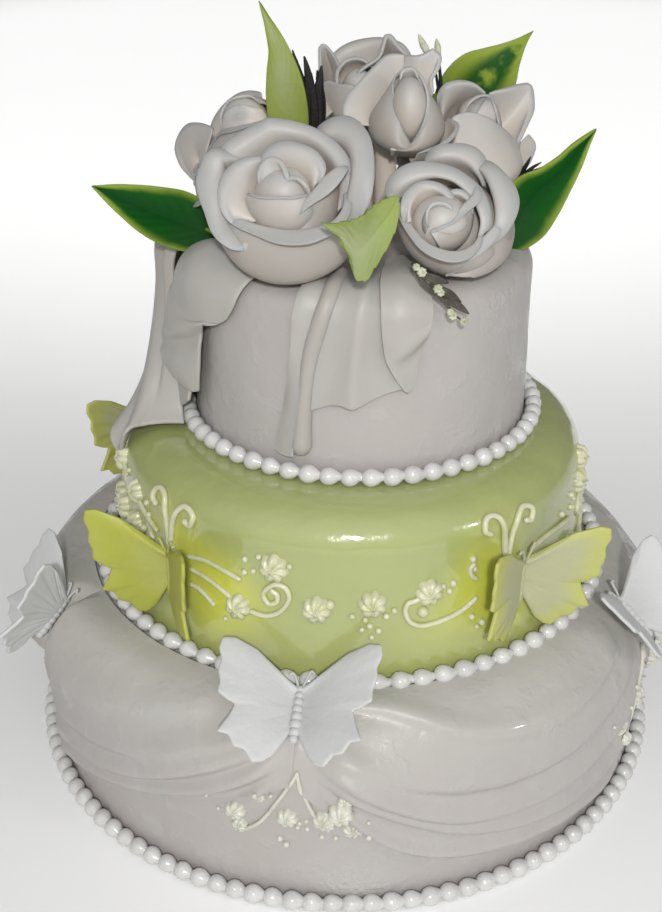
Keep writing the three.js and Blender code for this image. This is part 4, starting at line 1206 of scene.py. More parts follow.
# A petal: its lip as a line of points clockwise round the rose, the radius and height of its belly,
# how far its rim rolls out, and the middle it closes round. Points are in rose sizes: right, up, along the axis.
openPetals = [
    {"lip": [(-0.97, 0.24, 0.55), (-0.84, 0.28, 0.76), (-0.68, 0.38, 0.88), (-0.46, 0.52, 0.94), (-0.12, 0.64, 0.99),
             (0.15, 0.63, 0.97), (0.40, 0.50, 0.93), (0.59, 0.30, 0.86), (0.66, 0.13, 0.78), (0.64, -0.07, 0.60)],
     "belly": (0.56, 0.56), "roll": 0.15, "tip": 0.42},
    {"lip": [(0.20, 0.66, 0.72), (0.36, 0.70, 0.88), (0.56, 0.69, 0.96), (0.71, 0.54, 0.99), (0.77, 0.35, 0.97),
             (0.77, 0.17, 0.92), (0.75, -0.01, 0.82), (0.69, -0.19, 0.68), (0.60, -0.31, 0.50)],
     "belly": (0.74, 0.42), "roll": 0.25},
    {"lip": [(-0.36, -0.57, 0.50), (-0.49, -0.49, 0.56), (-0.63, -0.37, 0.64), (-0.68, -0.20, 0.74),
             (-0.70, -0.02, 0.82), (-0.72, 0.15, 0.87), (-0.68, 0.27, 0.88), (-0.53, 0.36, 0.82)],
     "belly": (0.76, 0.36), "roll": 0.25, "tip": 0.84, "peak": 0.09},
    {"lip": [(-0.34, -0.36, 0.62), (-0.50, -0.37, 0.74), (-0.60, -0.26, 0.84), (-0.62, -0.11, 0.90),
             (-0.57, 0.07, 0.93), (-0.46, 0.21, 0.94), (-0.29, 0.30, 0.92), (-0.18, 0.37, 0.84)],
     "belly": (0.42, 0.68), "roll": 0.11},
    {"lip": [(0.67, 0.04, 0.74), (0.69, -0.19, 0.78), (0.60, -0.38, 0.78), (0.39, -0.47, 0.77), (0.10, -0.49, 0.75),
             (-0.20, -0.44, 0.74), (-0.49, -0.35, 0.73), (-0.65, -0.25, 0.70)],
     "belly": (0.84, 0.32), "roll": 0.16},
    {"lip": [(0.67, 0.26, 0.92), (0.61, 0.20, 0.98), (0.48, 0.09, 0.96), (0.34, -0.08, 0.90), (0.21, -0.25, 0.82),
             (0.09, -0.41, 0.70)],
     "belly": (0.56, 0.56), "roll": 0.22, "taper": 0.75},
    {"lip": [(-0.26, 0.15, 0.85), (-0.20, 0.30, 0.93), (-0.09, 0.37, 0.98), (0.10, 0.39, 1.00), (0.28, 0.34, 0.98),
             (0.39, 0.21, 0.93), (0.40, 0.08, 0.85)],
     "belly": (0.30, 0.78), "roll": 0.11},
    {"lip": [(0.34, -0.06, 0.84), (0.19, -0.16, 0.92), (0.00, -0.19, 0.93), (-0.20, -0.19, 0.92),
             (-0.40, -0.10, 0.84)],
     "belly": (0.47, 0.60), "roll": 0.03},
    {"lip": [(-0.26, 0.00, 0.80), (-0.26, 0.17, 0.96), (-0.18, 0.24, 1.02), (-0.06, 0.22, 1.03), (0.03, 0.09, 1.00),
             (0.05, -0.10, 0.84)],
     "belly": (0.16, 0.76), "roll": 0.04, "heart": (-0.10, 0.04)},
    {"lip": [(0.05, -0.08, 0.82), (0.06, 0.03, 0.95), (0.15, 0.03, 0.98), (0.27, -0.04, 0.95), (0.33, -0.10, 0.84)],
     "belly": (0.17, 0.68), "roll": 0.02, "heart": (0.17, -0.12)},
]
turnedPetals = [
    {"lip": [(-0.75, 0.19, 0.66), (-0.66, 0.25, 0.80), (-0.49, 0.31, 0.90), (-0.21, 0.33, 0.96), (0.01, 0.25, 0.97),
             (0.17, 0.10, 0.94), (0.29, -0.11, 0.90), (0.33, -0.30, 0.84), (0.29, -0.47, 0.70)],
     "belly": (0.50, 0.66), "roll": 0.26, "taper": 0.45},
    {"lip": [(-0.22, 0.64, 0.76), (-0.11, 0.63, 0.90), (0.11, 0.60, 0.97), (0.30, 0.53, 0.95), (0.43, 0.39, 0.86),
             (0.50, 0.26, 0.74)],
     "belly": (0.60, 0.56), "roll": 0.20},
    {"lip": [(0.36, 0.55, 0.74), (0.46, 0.40, 0.92), (0.54, 0.09, 0.95), (0.56, -0.15, 0.90), (0.53, -0.35, 0.80),
             (0.44, -0.50, 0.58)],
     "belly": (0.76, 0.44), "roll": 0.27},
    {"lip": [(0.62, -0.15, 0.84), (0.52, -0.35, 0.78), (0.31, -0.52, 0.68), (0.09, -0.66, 0.56),
             (-0.12, -0.79, 0.34)],
     "belly": (0.80, 0.38), "roll": 0.13},
    {"lip": [(0.33, -0.42, 0.70), (0.18, -0.61, 0.74), (0.04, -0.68, 0.75), (-0.19, -0.67, 0.75),
             (-0.40, -0.55, 0.75), (-0.52, -0.35, 0.74), (-0.59, -0.12, 0.72), (-0.61, 0.13, 0.66)],
     "belly": (0.74, 0.36), "roll": 0.14},
    {"lip": [(-0.62, -0.24, 0.70), (-0.61, -0.09, 0.84), (-0.53, 0.07, 0.90), (-0.37, 0.17, 0.93),
             (-0.18, 0.12, 0.94), (-0.07, -0.01, 0.93), (-0.01, -0.14, 0.86)],
     "belly": (0.32, 0.76), "roll": 0.09, "waist": (-0.24, -0.20)},
    {"lip": [(0.31, 0.11, 0.95), (0.27, 0.01, 0.97), (0.12, -0.13, 0.95), (-0.04, -0.26, 0.91), (-0.21, -0.33, 0.86),
             (-0.35, -0.41, 0.78)],
     "belly": (0.46, 0.64), "roll": 0.15, "taper": 0.5, "waist": (-0.18, -0.12), "heart": (-0.30, 0.10)},
    {"lip": [(-0.39, -0.38, 0.86), (-0.40, -0.26, 0.96), (-0.32, -0.16, 1.02), (-0.18, -0.16, 1.03),
             (-0.09, -0.20, 0.98), (-0.10, -0.26, 0.88)],
     "belly": (0.17, 0.70), "roll": 0.02, "waist": (-0.24, -0.27), "heart": (-0.24, -0.27)},
    {"lip": [(-0.14, -0.11, 0.86), (-0.06, 0.03, 0.92), (0.08, 0.05, 0.93), (0.18, -0.04, 0.92), (0.23, -0.18, 0.85)],
     "belly": (0.22, 0.72), "roll": 0.05, "waist": (0.03, -0.16), "heart": (0.03, -0.16)},
]
budPetals = [
    {"lip": [(0.11, -0.63, 0.46), (-0.09, -0.49, 0.75), (-0.20, -0.14, 0.98), (-0.24, 0.20, 1.15),
             (-0.18, 0.41, 1.25), (0.00, 0.53, 1.28)],
     "belly": (0.72, 0.48), "roll": 0.02},
    {"lip": [(0.00, 0.57, 1.28), (0.20, 0.43, 1.32), (0.36, 0.14, 1.20), (0.40, -0.17, 1.00), (0.32, -0.45, 0.80),
             (0.13, -0.65, 0.55), (-0.28, -0.73, 0.28)],
     "belly": (0.75, 0.48), "roll": 0.05},
    {"lip": [(-0.22, 0.45, 1.10), (0.00, 0.56, 1.26), (0.20, 0.43, 1.28), (0.36, 0.16, 1.12)],
     "belly": (0.50, 0.80), "roll": 0.04},
    {"lip": [(-0.10, 0.30, 1.24), (-0.03, 0.42, 1.36), (0.13, 0.42, 1.40), (0.24, 0.24, 1.34)],
     "belly": (0.26, 0.90), "roll": 0.05, "heart": (0.07, 0.20), "waist": (0.07, 0.20)},
    {"lip": [(-1.15, -0.10, 0.40), (-1.08, 0.23, 0.70), (-0.82, 0.59, 0.90), (-0.52, 0.89, 1.05), (-0.26, 1.09, 1.15),
             (0.03, 1.12, 1.16)],
     "belly": (0.72, 0.50), "roll": 0.10},
    {"lip": [(-0.05, 1.22, 1.06), (0.28, 0.99, 1.20), (0.68, 0.99, 1.20), (0.63, 0.82, 1.10), (0.52, 0.67, 0.95),
             (0.58, 0.53, 0.76)],
     "belly": (0.72, 0.56), "roll": 0.07, "tip": 0.42, "peak": 0.07},
    {"lip": [(0.90, 0.30, 0.30), (1.00, -0.20, 0.52), (0.72, -0.70, 0.58), (0.20, -0.94, 0.50)],
     "belly": (0.80, 0.24), "roll": 0.08},
]
sidePetals = [
    {"lip": [(-0.65, 0.29, 0.50), (-0.75, 0.36, 0.80), (-0.71, 0.37, 1.04), (-0.48, 0.31, 1.16), (-0.23, 0.17, 1.16),
             (0.14, 0.00, 1.02), (0.65, -0.19, 0.72)],
     "belly": (0.84, 0.50), "roll": 0.02, "heart": (0.00, 0.60), "waist": (0.00, 0.05)},
    {"lip": [(-0.39, 0.89, 0.62), (-0.47, 0.97, 0.92), (-0.40, 0.98, 1.12), (-0.21, 0.93, 1.22), (0.06, 0.83, 1.24),
             (0.30, 0.67, 1.14)],
     "belly": (0.70, 0.62), "roll": 0.08, "heart": (0.06, 0.36), "waist": (0.04, 0.20)},
    {"lip": [(0.42, 0.68, 1.10), (0.63, 0.58, 1.22), (1.17, 0.45, 1.20), (1.13, 0.24, 1.08), (0.89, 0.00, 0.92),
             (0.63, -0.18, 0.72), (0.39, -0.31, 0.40)],
     "belly": (0.70, 0.55), "roll": 0.09, "heart": (0.20, 0.20), "tip": 0.34, "peak": 0.06},
    {"lip": [(-0.20, 0.53, 0.87), (-0.10, 0.61, 1.03), (0.05, 0.62, 1.14), (0.29, 0.58, 1.16), (0.19, 0.31, 1.18),
             (0.25, 0.15, 1.03)],
     "belly": (0.42, 0.78), "roll": 0.03, "heart": (0.16, 0.40), "waist": (0.16, 0.42)},
    {"lip": [(-0.16, 0.35, 0.96), (-0.02, 0.45, 1.15), (0.24, 0.51, 1.18), (0.29, 0.33, 1.15)],
     "belly": (0.38, 0.80), "roll": 0.0, "heart": (0.16, 0.40), "waist": (0.16, 0.44)},
    {"lip": [(1.36, 0.10, 0.50), (1.38, -0.10, 0.44), (1.16, -0.32, 0.32), (0.80, -0.50, 0.20)],
     "belly": (0.86, 0.20), "roll": 0.05},
    {"lip": [(-0.60, -0.60, 0.40), (-0.92, -0.30, 0.66), (-1.00, 0.20, 0.86), (-0.80, 0.62, 0.86)],
     "belly": (0.84, 0.36), "roll": 0.12},
]
leftPetals = [
    {"lip": [(-0.92, -0.54, 0.28), (-1.24, -0.43, 0.50), (-1.33, -0.28, 0.70), (-1.09, -0.07, 0.88),
             (-0.63, 0.09, 0.96), (-0.17, 0.16, 0.94)],
     "belly": (0.62, 0.44), "roll": 0.12, "heart": (-0.10, 0.40), "waist": (-0.14, 0.0)},
    {"lip": [(0.98, 0.72, 0.86), (0.85, 0.53, 0.96), (0.56, 0.34, 1.00), (0.15, 0.19, 0.96), (-0.12, -0.02, 0.82),
             (-0.40, -0.29, 0.62), (-0.71, -0.54, 0.40)],
     "belly": (0.76, 0.42), "roll": 0.08, "heart": (0.30, 0.80), "waist": (0.0, -0.02)},
    {"lip": [(0.11, 0.26, 0.98), (0.08, 0.36, 1.08), (0.07, 0.51, 1.14), (0.23, 0.69, 1.16), (0.31, 0.84, 1.04),
             (0.44, 0.86, 0.89)],
     "belly": (0.44, 0.72), "roll": 0.02, "heart": (0.24, 0.50), "waist": (0.24, 0.52)},
    {"lip": [(0.12, 0.26, 0.97), (0.24, 0.36, 1.11), (0.34, 0.50, 1.16), (0.47, 0.64, 1.10), (0.54, 0.75, 0.93),
             (0.56, 0.76, 0.76)],
     "belly": (0.42, 0.76), "roll": 0.02, "heart": (0.24, 0.50), "waist": (0.24, 0.52)},
    {"lip": [(0.74, 0.56, 0.60), (0.98, 0.10, 0.80), (0.90, -0.44, 0.78), (0.44, -0.80, 0.66), (-0.04, -0.86, 0.46)],
     "belly": (0.76, 0.36), "roll": 0.14},
    {"lip": [(0.56, 0.36, 0.86), (0.66, -0.02, 0.92), (0.44, -0.34, 0.90), (0.06, -0.48, 0.84), (-0.30, -0.36, 0.72)],
     "belly": (0.52, 0.52), "roll": 0.08},
    {"lip": [(-0.78, -0.10, 0.40), (-0.98, 0.34, 0.62), (-0.66, 0.84, 0.74), (-0.14, 1.06, 0.70)],
     "belly": (0.72, 0.32), "roll": 0.10},
]
middlePetals = [
    {"lip": [(-0.58, -1.01, 0.40), (-0.62, -0.84, 0.58), (-0.63, -0.49, 0.86), (-0.71, 0.14, 1.12),
             (-0.48, -0.05, 1.00), (-0.39, -0.18, 0.92)],
     "belly": (0.64, 0.46), "roll": 0.03, "heart": (0.20, -0.10), "tip": 0.62, "peak": 0.03},
    {"lip": [(-0.70, -0.43, 0.70), (-0.59, -0.40, 0.82), (-0.31, -0.50, 0.88), (-0.03, -0.53, 0.88),
             (0.10, -0.55, 0.76)],
     "belly": (0.70, 0.40), "roll": 0.03, "heart": (-0.10, 0.10)},
    {"lip": [(-0.35, -0.43, 0.80), (-0.40, -0.17, 0.94), (-0.32, -0.03, 1.00), (-0.06, -0.00, 1.00),
             (0.04, -0.02, 0.94)],
     "belly": (0.34, 0.70), "roll": 0.04, "heart": (-0.14, -0.20), "waist": (-0.12, -0.18)},
    {"lip": [(-0.22, -0.35, 0.80), (-0.02, -0.16, 0.96), (0.20, 0.06, 1.06), (0.26, 0.35, 1.20), (0.47, 0.22, 1.10),
             (0.63, 0.20, 0.98)],
     "belly": (0.58, 0.54), "roll": 0.05, "heart": (0.40, -0.50), "waist": (0.10, -0.14), "tip": 0.62, "peak": 0.03},
    {"lip": [(0.46, 0.46, 0.70), (0.84, 0.10, 0.88), (0.80, -0.40, 0.86), (0.40, -0.78, 0.74), (-0.10, -0.92, 0.50)],
     "belly": (0.72, 0.38), "roll": 0.12},
    {"lip": [(-0.74, 0.02, 0.50), (-0.66, 0.46, 0.76), (-0.24, 0.70, 0.84), (0.22, 0.70, 0.84), (0.62, 0.42, 0.66)],
     "belly": (0.66, 0.40), "roll": 0.12},
]
# In rose sizes; the bands are foot, low, belly, lip, and three steps of the rolled rim
petalShape = {
    "thick": 0.034, "bands": [0, 0.14, 0.40, 0.72, 0.80, 0.90, 1], "peak": 0.045, "uneven": 0.16, "wave": 0.018,
}
roses = [
    {"node": "rose_front_left", "name": "frontLeftRose", "at": (-31.5, -69, 356), "azimuth": -8, "tilt": 50,
     "size": 44, "petals": openPetals, "waist": (0.03, -0.05), "heart": (0, 0),
     "core": ((-0.02, 0.04, 0.56), (0.36, 0.34, 0.42))},
    {"node": "rose_front_right", "name": "frontRightRose", "at": (49, -63, 349), "azimuth": 12, "tilt": 50,
     "size": 39, "petals": turnedPetals, "waist": (0.12, -0.06), "heart": (-0.20, -0.20),
     "core": ((-0.12, -0.16, 0.56), (0.40, 0.36, 0.42)), "filling": ((-0.02, -0.04, 0.38), (0.55, 0.52, 0.38))},
    {"node": "rose_bud", "name": "rosebud", "at": (28, -17, 386), "azimuth": 2, "tilt": 62,
     "size": 27, "petals": budPetals, "waist": (0.04, -0.08), "heart": (0.08, 0.0),
     "core": ((0.08, 0.04, 0.72), (0.37, 0.54, 0.68))},
    {"node": "rose_right", "name": "rightRose", "at": (72, 4, 366), "azimuth": 42, "tilt": 58,
     "size": 31, "petals": sidePetals, "waist": (0.05, 0.05), "heart": (0.0, 0.2),
     "core": ((0.16, 0.44, 0.84), (0.34, 0.32, 0.34))},
    {"node": "rose_left", "name": "leftRose", "at": (-68, 6, 360), "azimuth": -62, "tilt": 46,
     "size": 36, "petals": leftPetals, "waist": (0.03, -0.06), "heart": (0, 0),
     "core": ((0.24, 0.56, 0.80), (0.37, 0.34, 0.36))},
    {"node": "rose_middle", "name": "middleRose", "at": (11, 38, 392), "azimuth": -20, "tilt": 66,
     "size": 36, "petals": middlePetals, "waist": (0.03, -0.06), "heart": (0, 0),
     "core": ((-0.12, -0.18, 0.60), (0.26, 0.26, 0.34))},
    {"node": "rose_back_left", "name": "backLeftRose", "at": (-43, 66, 352), "azimuth": -150, "tilt": 46,
     "size": 36, "petals": openPetals, "waist": (0.03, -0.05), "heart": (0, 0),
     "core": ((0.00, 0.04, 0.52), (0.30, 0.30, 0.40)), "spin": 20},
    {"node": "rose_back_right", "name": "backRightRose", "at": (54, 70, 352), "azimuth": 148, "tilt": 46,
     "size": 36, "petals": turnedPetals, "waist": (0.12, -0.06), "heart": (-0.20, -0.20),
     "core": ((-0.15, -0.22, 0.52), (0.30, 0.28, 0.42)), "spin": -30},
]
roseFoot = {"top": 0.22, "bottom": 0.22, "inward": 0.36, "rise": 0.22}


def roseAxes(rose):
    a, e = math.radians(rose["azimuth"]), math.radians(rose["tilt"])
    axis = np.array([math.sin(a) * math.cos(e), -math.cos(a) * math.cos(e), math.sin(e)])
    right = np.array([math.cos(a), math.sin(a), 0.0])
    up = np.cross(axis, right)
    spin = math.radians(rose.get("spin", 0))
    turned = [right * math.cos(spin) - up * math.sin(spin), up * math.cos(spin) + right * math.sin(spin)]
    return np.array(rose["at"]) - 0.55 * rose["size"] * axis, np.stack([*turned, axis])


def petal(clay, rose, base, axes, values, seed):
    lip = np.array(values["lip"], float)
    heart = np.array(values.get("heart", rose["heart"]), float)
    waist = np.array(values.get("waist", rose["waist"]), float)
    reach, high = values["belly"]
    tip = values.get("tip")

    def pointAt(u, v):
        part = u[0]
        edge = smoothLine(lip, part, knotsOf(lip))
        if tip:
            edge = edge * (1 + values.get("peak", petalShape["peak"]) * np.exp(-np.abs((part - tip) / 0.06)))[:, None]
        away = unit(edge[:, :2] - heart)
        ahead = unit(np.gradient(edge[:, :2], axis=0))
        out = unit(0.4 * away + 0.6 * np.stack([-ahead[:, 1], ahead[:, 0]], -1))
        width = values["roll"] * (np.maximum(4 * part * (1 - part), 0) ** 0.5)
        width = width * (1 + petalShape["uneven"] * np.sin(part * 9 + seed)) * (1 - values.get("taper", 0) * part)

        def level(flat, height):
            return np.concatenate([flat, np.broadcast_to(np.asarray(height, float), part.shape)[:, None]], 1)

        controls = np.stack([
            level(waist * 0.5 + away * 0.12, 0.03),
            level(waist * 0.8 + away * reach * 0.66, high * 0.30),
            level(waist + away * reach, high),
            edge,
            level(edge[:, :2] + out * width[:, None] * 0.36, edge[:, 2] + width * 0.10),
            level(edge[:, :2] + out * width[:, None] * 0.76, edge[:, 2] + width * 0.09),
            level(edge[:, :2] + out * width[:, None], edge[:, 2] + width * 0.02),
        ])
        local = smoothLine(controls, v[:, 0], petalShape["bands"])
        wave = ripples(local, 1.2, seed)[..., None] * (petalShape["wave"] * v[..., None])
        spread = np.concatenate([away, 0 * away[:, :1]], 1)[None]
        return base + ((local + spread * wave) * rose["size"]) @ axes

    long = (1.1 + values["roll"]) * rose["size"]
    wide = np.linalg.norm(np.diff(lip, axis=0), axis=1).sum() * rose["size"]
    clay.sheet(pointAt, petalShape["thick"] * rose["size"], wide, long, 44, 34)


def rosePiece(rose, number):
    clay = Clay()
    base, axes = roseAxes(rose)
    for k, values in enumerate(rose["petals"]):
        petal(clay, rose, base, axes, values, 100 + 20 * number + k)
    size = rose["size"]
    turn, fall = np.meshgrid(np.linspace(0, turnFull, 33), np.linspace(0, math.pi, 18))
    ball = np.stack([np.sin(fall) * np.cos(turn), np.sin(fall) * np.sin(turn), np.cos(fall)], -1)
    places = np.stack([turn / turnFull, 0.4 + 0.3 * np.cos(fall), 0 * turn], -1)
    for middle, radii in [rose[part] for part in ("core", "filling") if part in rose]:
        heart = base + ((np.array(middle) + ball * np.array(radii)) * size) @ axes
        clay.grid(heart, places)
    inward = np.array([tiers["top"]["x"], tiers["top"]["y"], base[2]]) - base
    seat = base + unit(inward) * roseFoot["inward"] * size
    top = base[2] + roseFoot["rise"] * size
    foot = tiers["top"]["top"] - 0.4
    line = np.array([[seat[0], seat[1], foot + 0.3 * size], [seat[0], seat[1], top - 0.26 * size]])
    radii = np.linspace(roseFoot["bottom"], roseFoot["top"], 6) * size
    clay.tube(smoothLine(line, np.linspace(0, 1, 6)), radii, 20)
    return clay.finish(rose["name"], "rose")


for number, rose in enumerate(roses):
    keep(rosePiece(rose, number), "petal_paste", rose["node"])
print("roses ready")


leafShape = {
    "thick": 1.7, "cup": 0.3, "wave": 0.9, "rib": 0.5, "vein": 0.12, "tooth": 0.045, "stalk": (1.0, 1.6),
}
# The two edges of each kind of leaf from base to tip, as places across and along it
leafEdges = {
    "upright": (
        [(-9, -2), (-15.2, 9), (-16.3, 21.9), (-13.7, 35), (-9, 47.6), (-5.1, 56), (-3.5, 66), (-2.7, 73.5),
         (-2.2, 80.6)],
        [(-5, -2), (2.8, 11), (6.4, 27.3), (7.2, 40.7), (6.0, 52.9), (3.5, 63.7), (0.6, 72), (-1.8, 80.6)]),
    "spread": (
        [(0, -8), (-8.5, 5), (-12.6, 18.2), (-12.9, 33), (-10.8, 44), (-7.7, 53.3), (-3.4, 65), (0.7, 74.3)],
        [(4, -8), (16, 8), (19.4, 24.8), (16.7, 40.4), (11.5, 55), (6.4, 65.7), (3.2, 71), (1.1, 74.3)]),
    "raised": (
        [(-6, -9), (-15, 5), (-19.5, 18), (-18.7, 32.3), (-11.3, 43.1), (-7.4, 52.5), (-5.2, 63.6), (-2.8, 71),
         (-0.9, 75.8)],
        [(-2, -9), (8, 2), (12.9, 13.7), (13.1, 28.4), (10.9, 41.4), (6.5, 57.8), (2.6, 68), (-0.5, 75.8)]),
    "round": (
        [(-10, -14), (-18, -8), (-21.5, 2), (-22.6, 12), (-19.5, 26), (-13, 35), (-8, 41.4), (-3, 49), (1.2, 57.3)],
        [(-2, -12), (12, 0), (16.8, 12), (16.4, 22), (12.6, 31), (8.3, 38), (4.6, 46), (2.4, 52.5), (1.6, 57.3)]),
    "turned": (
        [(15.9, 8.6), (10.2, 7.9), (0.7, 9.7), (-9, 14.7), (-16.3, 19.2), (-21.8, 22.5), (-23.2, 26.8), (-17.8, 29.6),
         (-11.8, 31.2), (-8.3, 33.9), (-4.2, 35.9), (-0.8, 41), (2.4, 44.8)],
        [(16.3, 9.6), (14.7, 15), (11.6, 20.3), (8.1, 24.5), (5.4, 29.1), (3.9, 33.9), (2.4, 39.3), (2.8, 44.8)]),
}
leaves = [
    {"node": "leaf_upright", "name": "uprightLeaf", "base": (-23, 3, 366), "tip": (-45.5, -2, 442),
     "face": (0.1, -1, 0.1), "edges": "upright", "size": 1, "sag": 5, "look": "leafAsh", "slot": "pale_leaf",
     "stalk": [(-20, 10, 340), (-18, 14, 316)]},
    {"node": "leaf_left", "name": "leftLeaf", "base": (-73, -30, 324), "tip": (-141, -14, 348),
     "face": (-0.1, -0.8, 0.6), "edges": "spread", "size": 1, "sag": -8, "look": "leafGreen", "slot": "green_leaf",
     "stalk": [(-66, -24, 316)]},
    {"node": "leaf_right", "name": "rightLeaf", "base": (88, -20, 318), "tip": (131, -10, 379),
     "face": (0.2, -1, 0.2), "edges": "raised", "size": 1, "sag": -8, "look": "leafGreen", "slot": "green_leaf",
     "stalk": [(80, -18, 316)]},
    {"node": "leaf_back_right", "name": "mossyLeaf", "base": (66, 44, 376), "tip": (101, 45, 423),
     "face": (-0.1, -1, 0.4), "edges": "round", "size": 1, "sag": 5, "look": "leafMoss", "slot": "pale_leaf",
     "stalk": [(60, 42, 340), (56, 40, 316)]},
    {"node": "leaf_front", "name": "frontLeaf", "base": (30, -104, 353), "tip": (-14, -113, 357),
     "face": (0, -1, 0.2), "edges": "turned", "size": 1, "sag": 3, "look": "leafPale", "slot": "pale_leaf",
     "teeth": 9, "hold": (3,), "stalk": [(12, -94, 352), (8, -64, 340), (4, -40, 318)]},
    {"node": "leaf_back_left", "name": "backLeftLeaf", "base": (-24, 107, 328), "tip": (-70, 142, 354),
     "face": (0, 0.6, 0.8), "edges": "spread", "size": 0.85, "sag": -6, "look": "leafGreen", "slot": "green_leaf",
     "stalk": [(-22, 90, 318)]},
    {"node": "leaf_back", "name": "backLeaf", "base": (33, 110, 330), "tip": (72, 140, 368),
     "face": (0, 0.8, 0.6), "edges": "raised", "size": 0.83, "sag": -6, "look": "leafPale", "slot": "pale_leaf",
     "stalk": [(34, 94, 318)]},
]


def leafPiece(leaf, seed):
    base, tip = np.array(leaf["base"], float), np.array(leaf["tip"], float)
    along = unit(tip - base)
    side = unit(np.cross(along, np.array(leaf["face"], float)))
    face = unit(np.cross(side, along))
    teeth = leaf.get("teeth", 0)
    left, right = [np.array(edge, float) * leaf["size"] for edge in leafEdges[leaf["edges"]]]
    widest = max(np.abs(left[:, 0]).max(), np.abs(right[:, 0]).max())

    def pointAt(u, v):
        s = u * 2 - 1
        start, end = smoothLine(left, v[:, 0], knotsOf(left)), smoothLine(right, v[:, 0], knotsOf(right))
        wide = (end - start)[:, None]
        half = np.linalg.norm(wide, axis=-1) / 2
        flat = start[:, None] + wide * u[..., None]
        if teeth:
            saw = (v * teeth) % 1.0
            flat = flat + wide * (leafShape["tooth"] * saw * s * np.abs(s) ** 5)[..., None]
        swell = np.sin(math.pi * v)
        bow = leaf["sag"] * swell + np.abs(s) ** 1.3 * half * leafShape["cup"] * swell
        wave = leafShape["wave"] * np.sin(v * 11 + seed) * s * np.abs(s) * swell
        return base + side * flat[..., :1] + along * flat[..., 1:] + face * (bow + wave)[..., None]

    def relief(u, v):
        s = np.abs(u * 2 - 1)
        rib = -leafShape["rib"] * np.exp(-((s / 0.06) ** 2)) * (1 - v)
        veins = leafShape["vein"] * np.sin((v * 9 - s * 2.6) * turnFull)
        return rib + veins * smoothStep(s, 0.05, 0.3) * (1 - smoothStep(s, 0.8, 1))

    clay = Clay()
    clay.sheet(pointAt, leafShape["thick"], widest * 2, float(np.linalg.norm(tip - base)), 34, 90, relief)
    spots = [(left[k] + right[k]) / 2 for k in leaf.get("hold", (1, 0))]
    line = [base + side * spot[0] + along * spot[1] for spot in spots] + leaf["stalk"]
    clay.tube(smoothLine(np.array(line, float), np.linspace(0, 1, 20)), np.linspace(*leafShape["stalk"], 20), 10)
    return clay.finish(leaf["name"], leaf["look"])


for number, leaf in enumerate(leaves):
    keep(leafPiece(leaf, 60 + number), leaf["slot"], leaf["node"])
print("leaves ready")


# A wing's rim from its front root to its back root, as places outwards and forwards
wingOutline = [
    (2, 10), (9, 14), (17, 20), (28, 28), (39, 32), (45, 31), (46, 25), (43.5, 19), (44.5, 13), (42.5, 7), (43, 1),
    (37, -2.5), (33, -4), (35, -10), (40, -20), (34, -20.5), (30.5, -26), (25, -26.5), (20, -32), (15.5, -31),
    (11, -27), (6, -18), (2, -11),
]
wingShape = {
    "thick": 2.2, "veins": [0.13, 0.24, 0.32, 0.40, 0.47, 0.62, 0.70, 0.79, 0.88], "veinDepth": 0.38,
    "split": 0.545, "splitDepth": 0.52, "swell": 1.6, "droop": 1.2, "feeler": 0.75, "body": (1.5, 2.2),
}
# Place along the body and radius of each bead of a beaded one
bodyBeads = [(9.8, 2.3), (6.4, 2.7), (2.8, 3.0), (-1.0, 3.2), (-5.0, 3.4), (-9.2, 3.6), (-13.2, 3.3), (-16.6, 2.7)]


def butterflyPiece(tier, run, spot, name, look, lift, seed):
    origin, normal, forward, side = skinFrame(tier, spot["azimuth"], run, lift)
    lean = math.radians(-spot["lean"])
    forward, side = forward * math.cos(lean) - side * math.sin(lean), side * math.cos(lean) + forward * math.sin(lean)
    clay = Clay()
    outline = np.array(wingOutline, float) * spot["size"]
    steps = np.concatenate([[0], np.cumsum(np.linalg.norm(np.diff(outline, axis=0), axis=1))])
    steps /= steps[-1]
    for sign, rise in ((-1, spot["left"]), (1, spot["right"])):
        tilt = math.radians(rise)
        across = side * sign * math.cos(tilt) + normal * math.sin(tilt)
        through = unit(normal * math.cos(tilt) - side * sign * math.sin(tilt))

        def pointAt(u, v):
            part = u if sign < 0 else 1 - u
            rim = np.stack([np.interp(part, steps, outline[:, k]) for k in range(2)], -1)
            root = np.stack([0.8 + 0 * part, (7.5 - 15 * part) * spot["size"]], -1)
            flat = root + (rim - root) * v[..., None]
            swell = wingShape["swell"] * np.sin(math.pi * np.clip(v, 0, 1))
            swell = swell - wingShape["droop"] * v ** 3 * np.sin(part * 9 + seed)
            return origin + across * flat[..., :1] + forward * flat[..., 1:] + through * swell[..., None]

        def relief(u, v):
            part = u if sign < 0 else 1 - u
            veins = sum(np.exp(-(((part - k) / 0.012) ** 2)) for k in wingShape["veins"])
            split = np.exp(-(((part - wingShape["split"]) / 0.02) ** 2))
            depth = wingShape["splitDepth"] * split + wingShape["veinDepth"] * veins
            return -depth * smoothStep(v, 0.05, 0.25) * (1 - smoothStep(v, 0.88, 1.0))

        clay.sheet(pointAt, wingShape["thick"], 130, 42, 130, 20, relief)
    for turn, ahead in ((-1, 1.0), (1, 1.1)):
        line = [origin + forward * y + side * x * turn + normal * h
                for x, y, h in [(0.8, 9, 1.5), (2.2, 14, 2.6), (4.6, 18 * ahead, 3.0), (6.4, 17 * ahead, 3.2)]]
        clay.tube(smoothLine(line, np.linspace(0, 1, 16)), wingShape["feeler"], 8)
    if not spot.get("beaded"):
        line = [origin + forward * y + normal * 0.8 for y in (9, 0, -8, -15)]
        clay.tube(smoothLine(line, np.linspace(0, 1, 14)), np.linspace(*wingShape["body"], 14), 10)
        return clay.finish(name, look), None
    beads = [(origin + forward * y + normal * 2.0, normal, size) for y, size in bodyBeads]
    return clay.finish(name, look), scatter(name + "Body", "bead", beads, look, 0.05, seed)


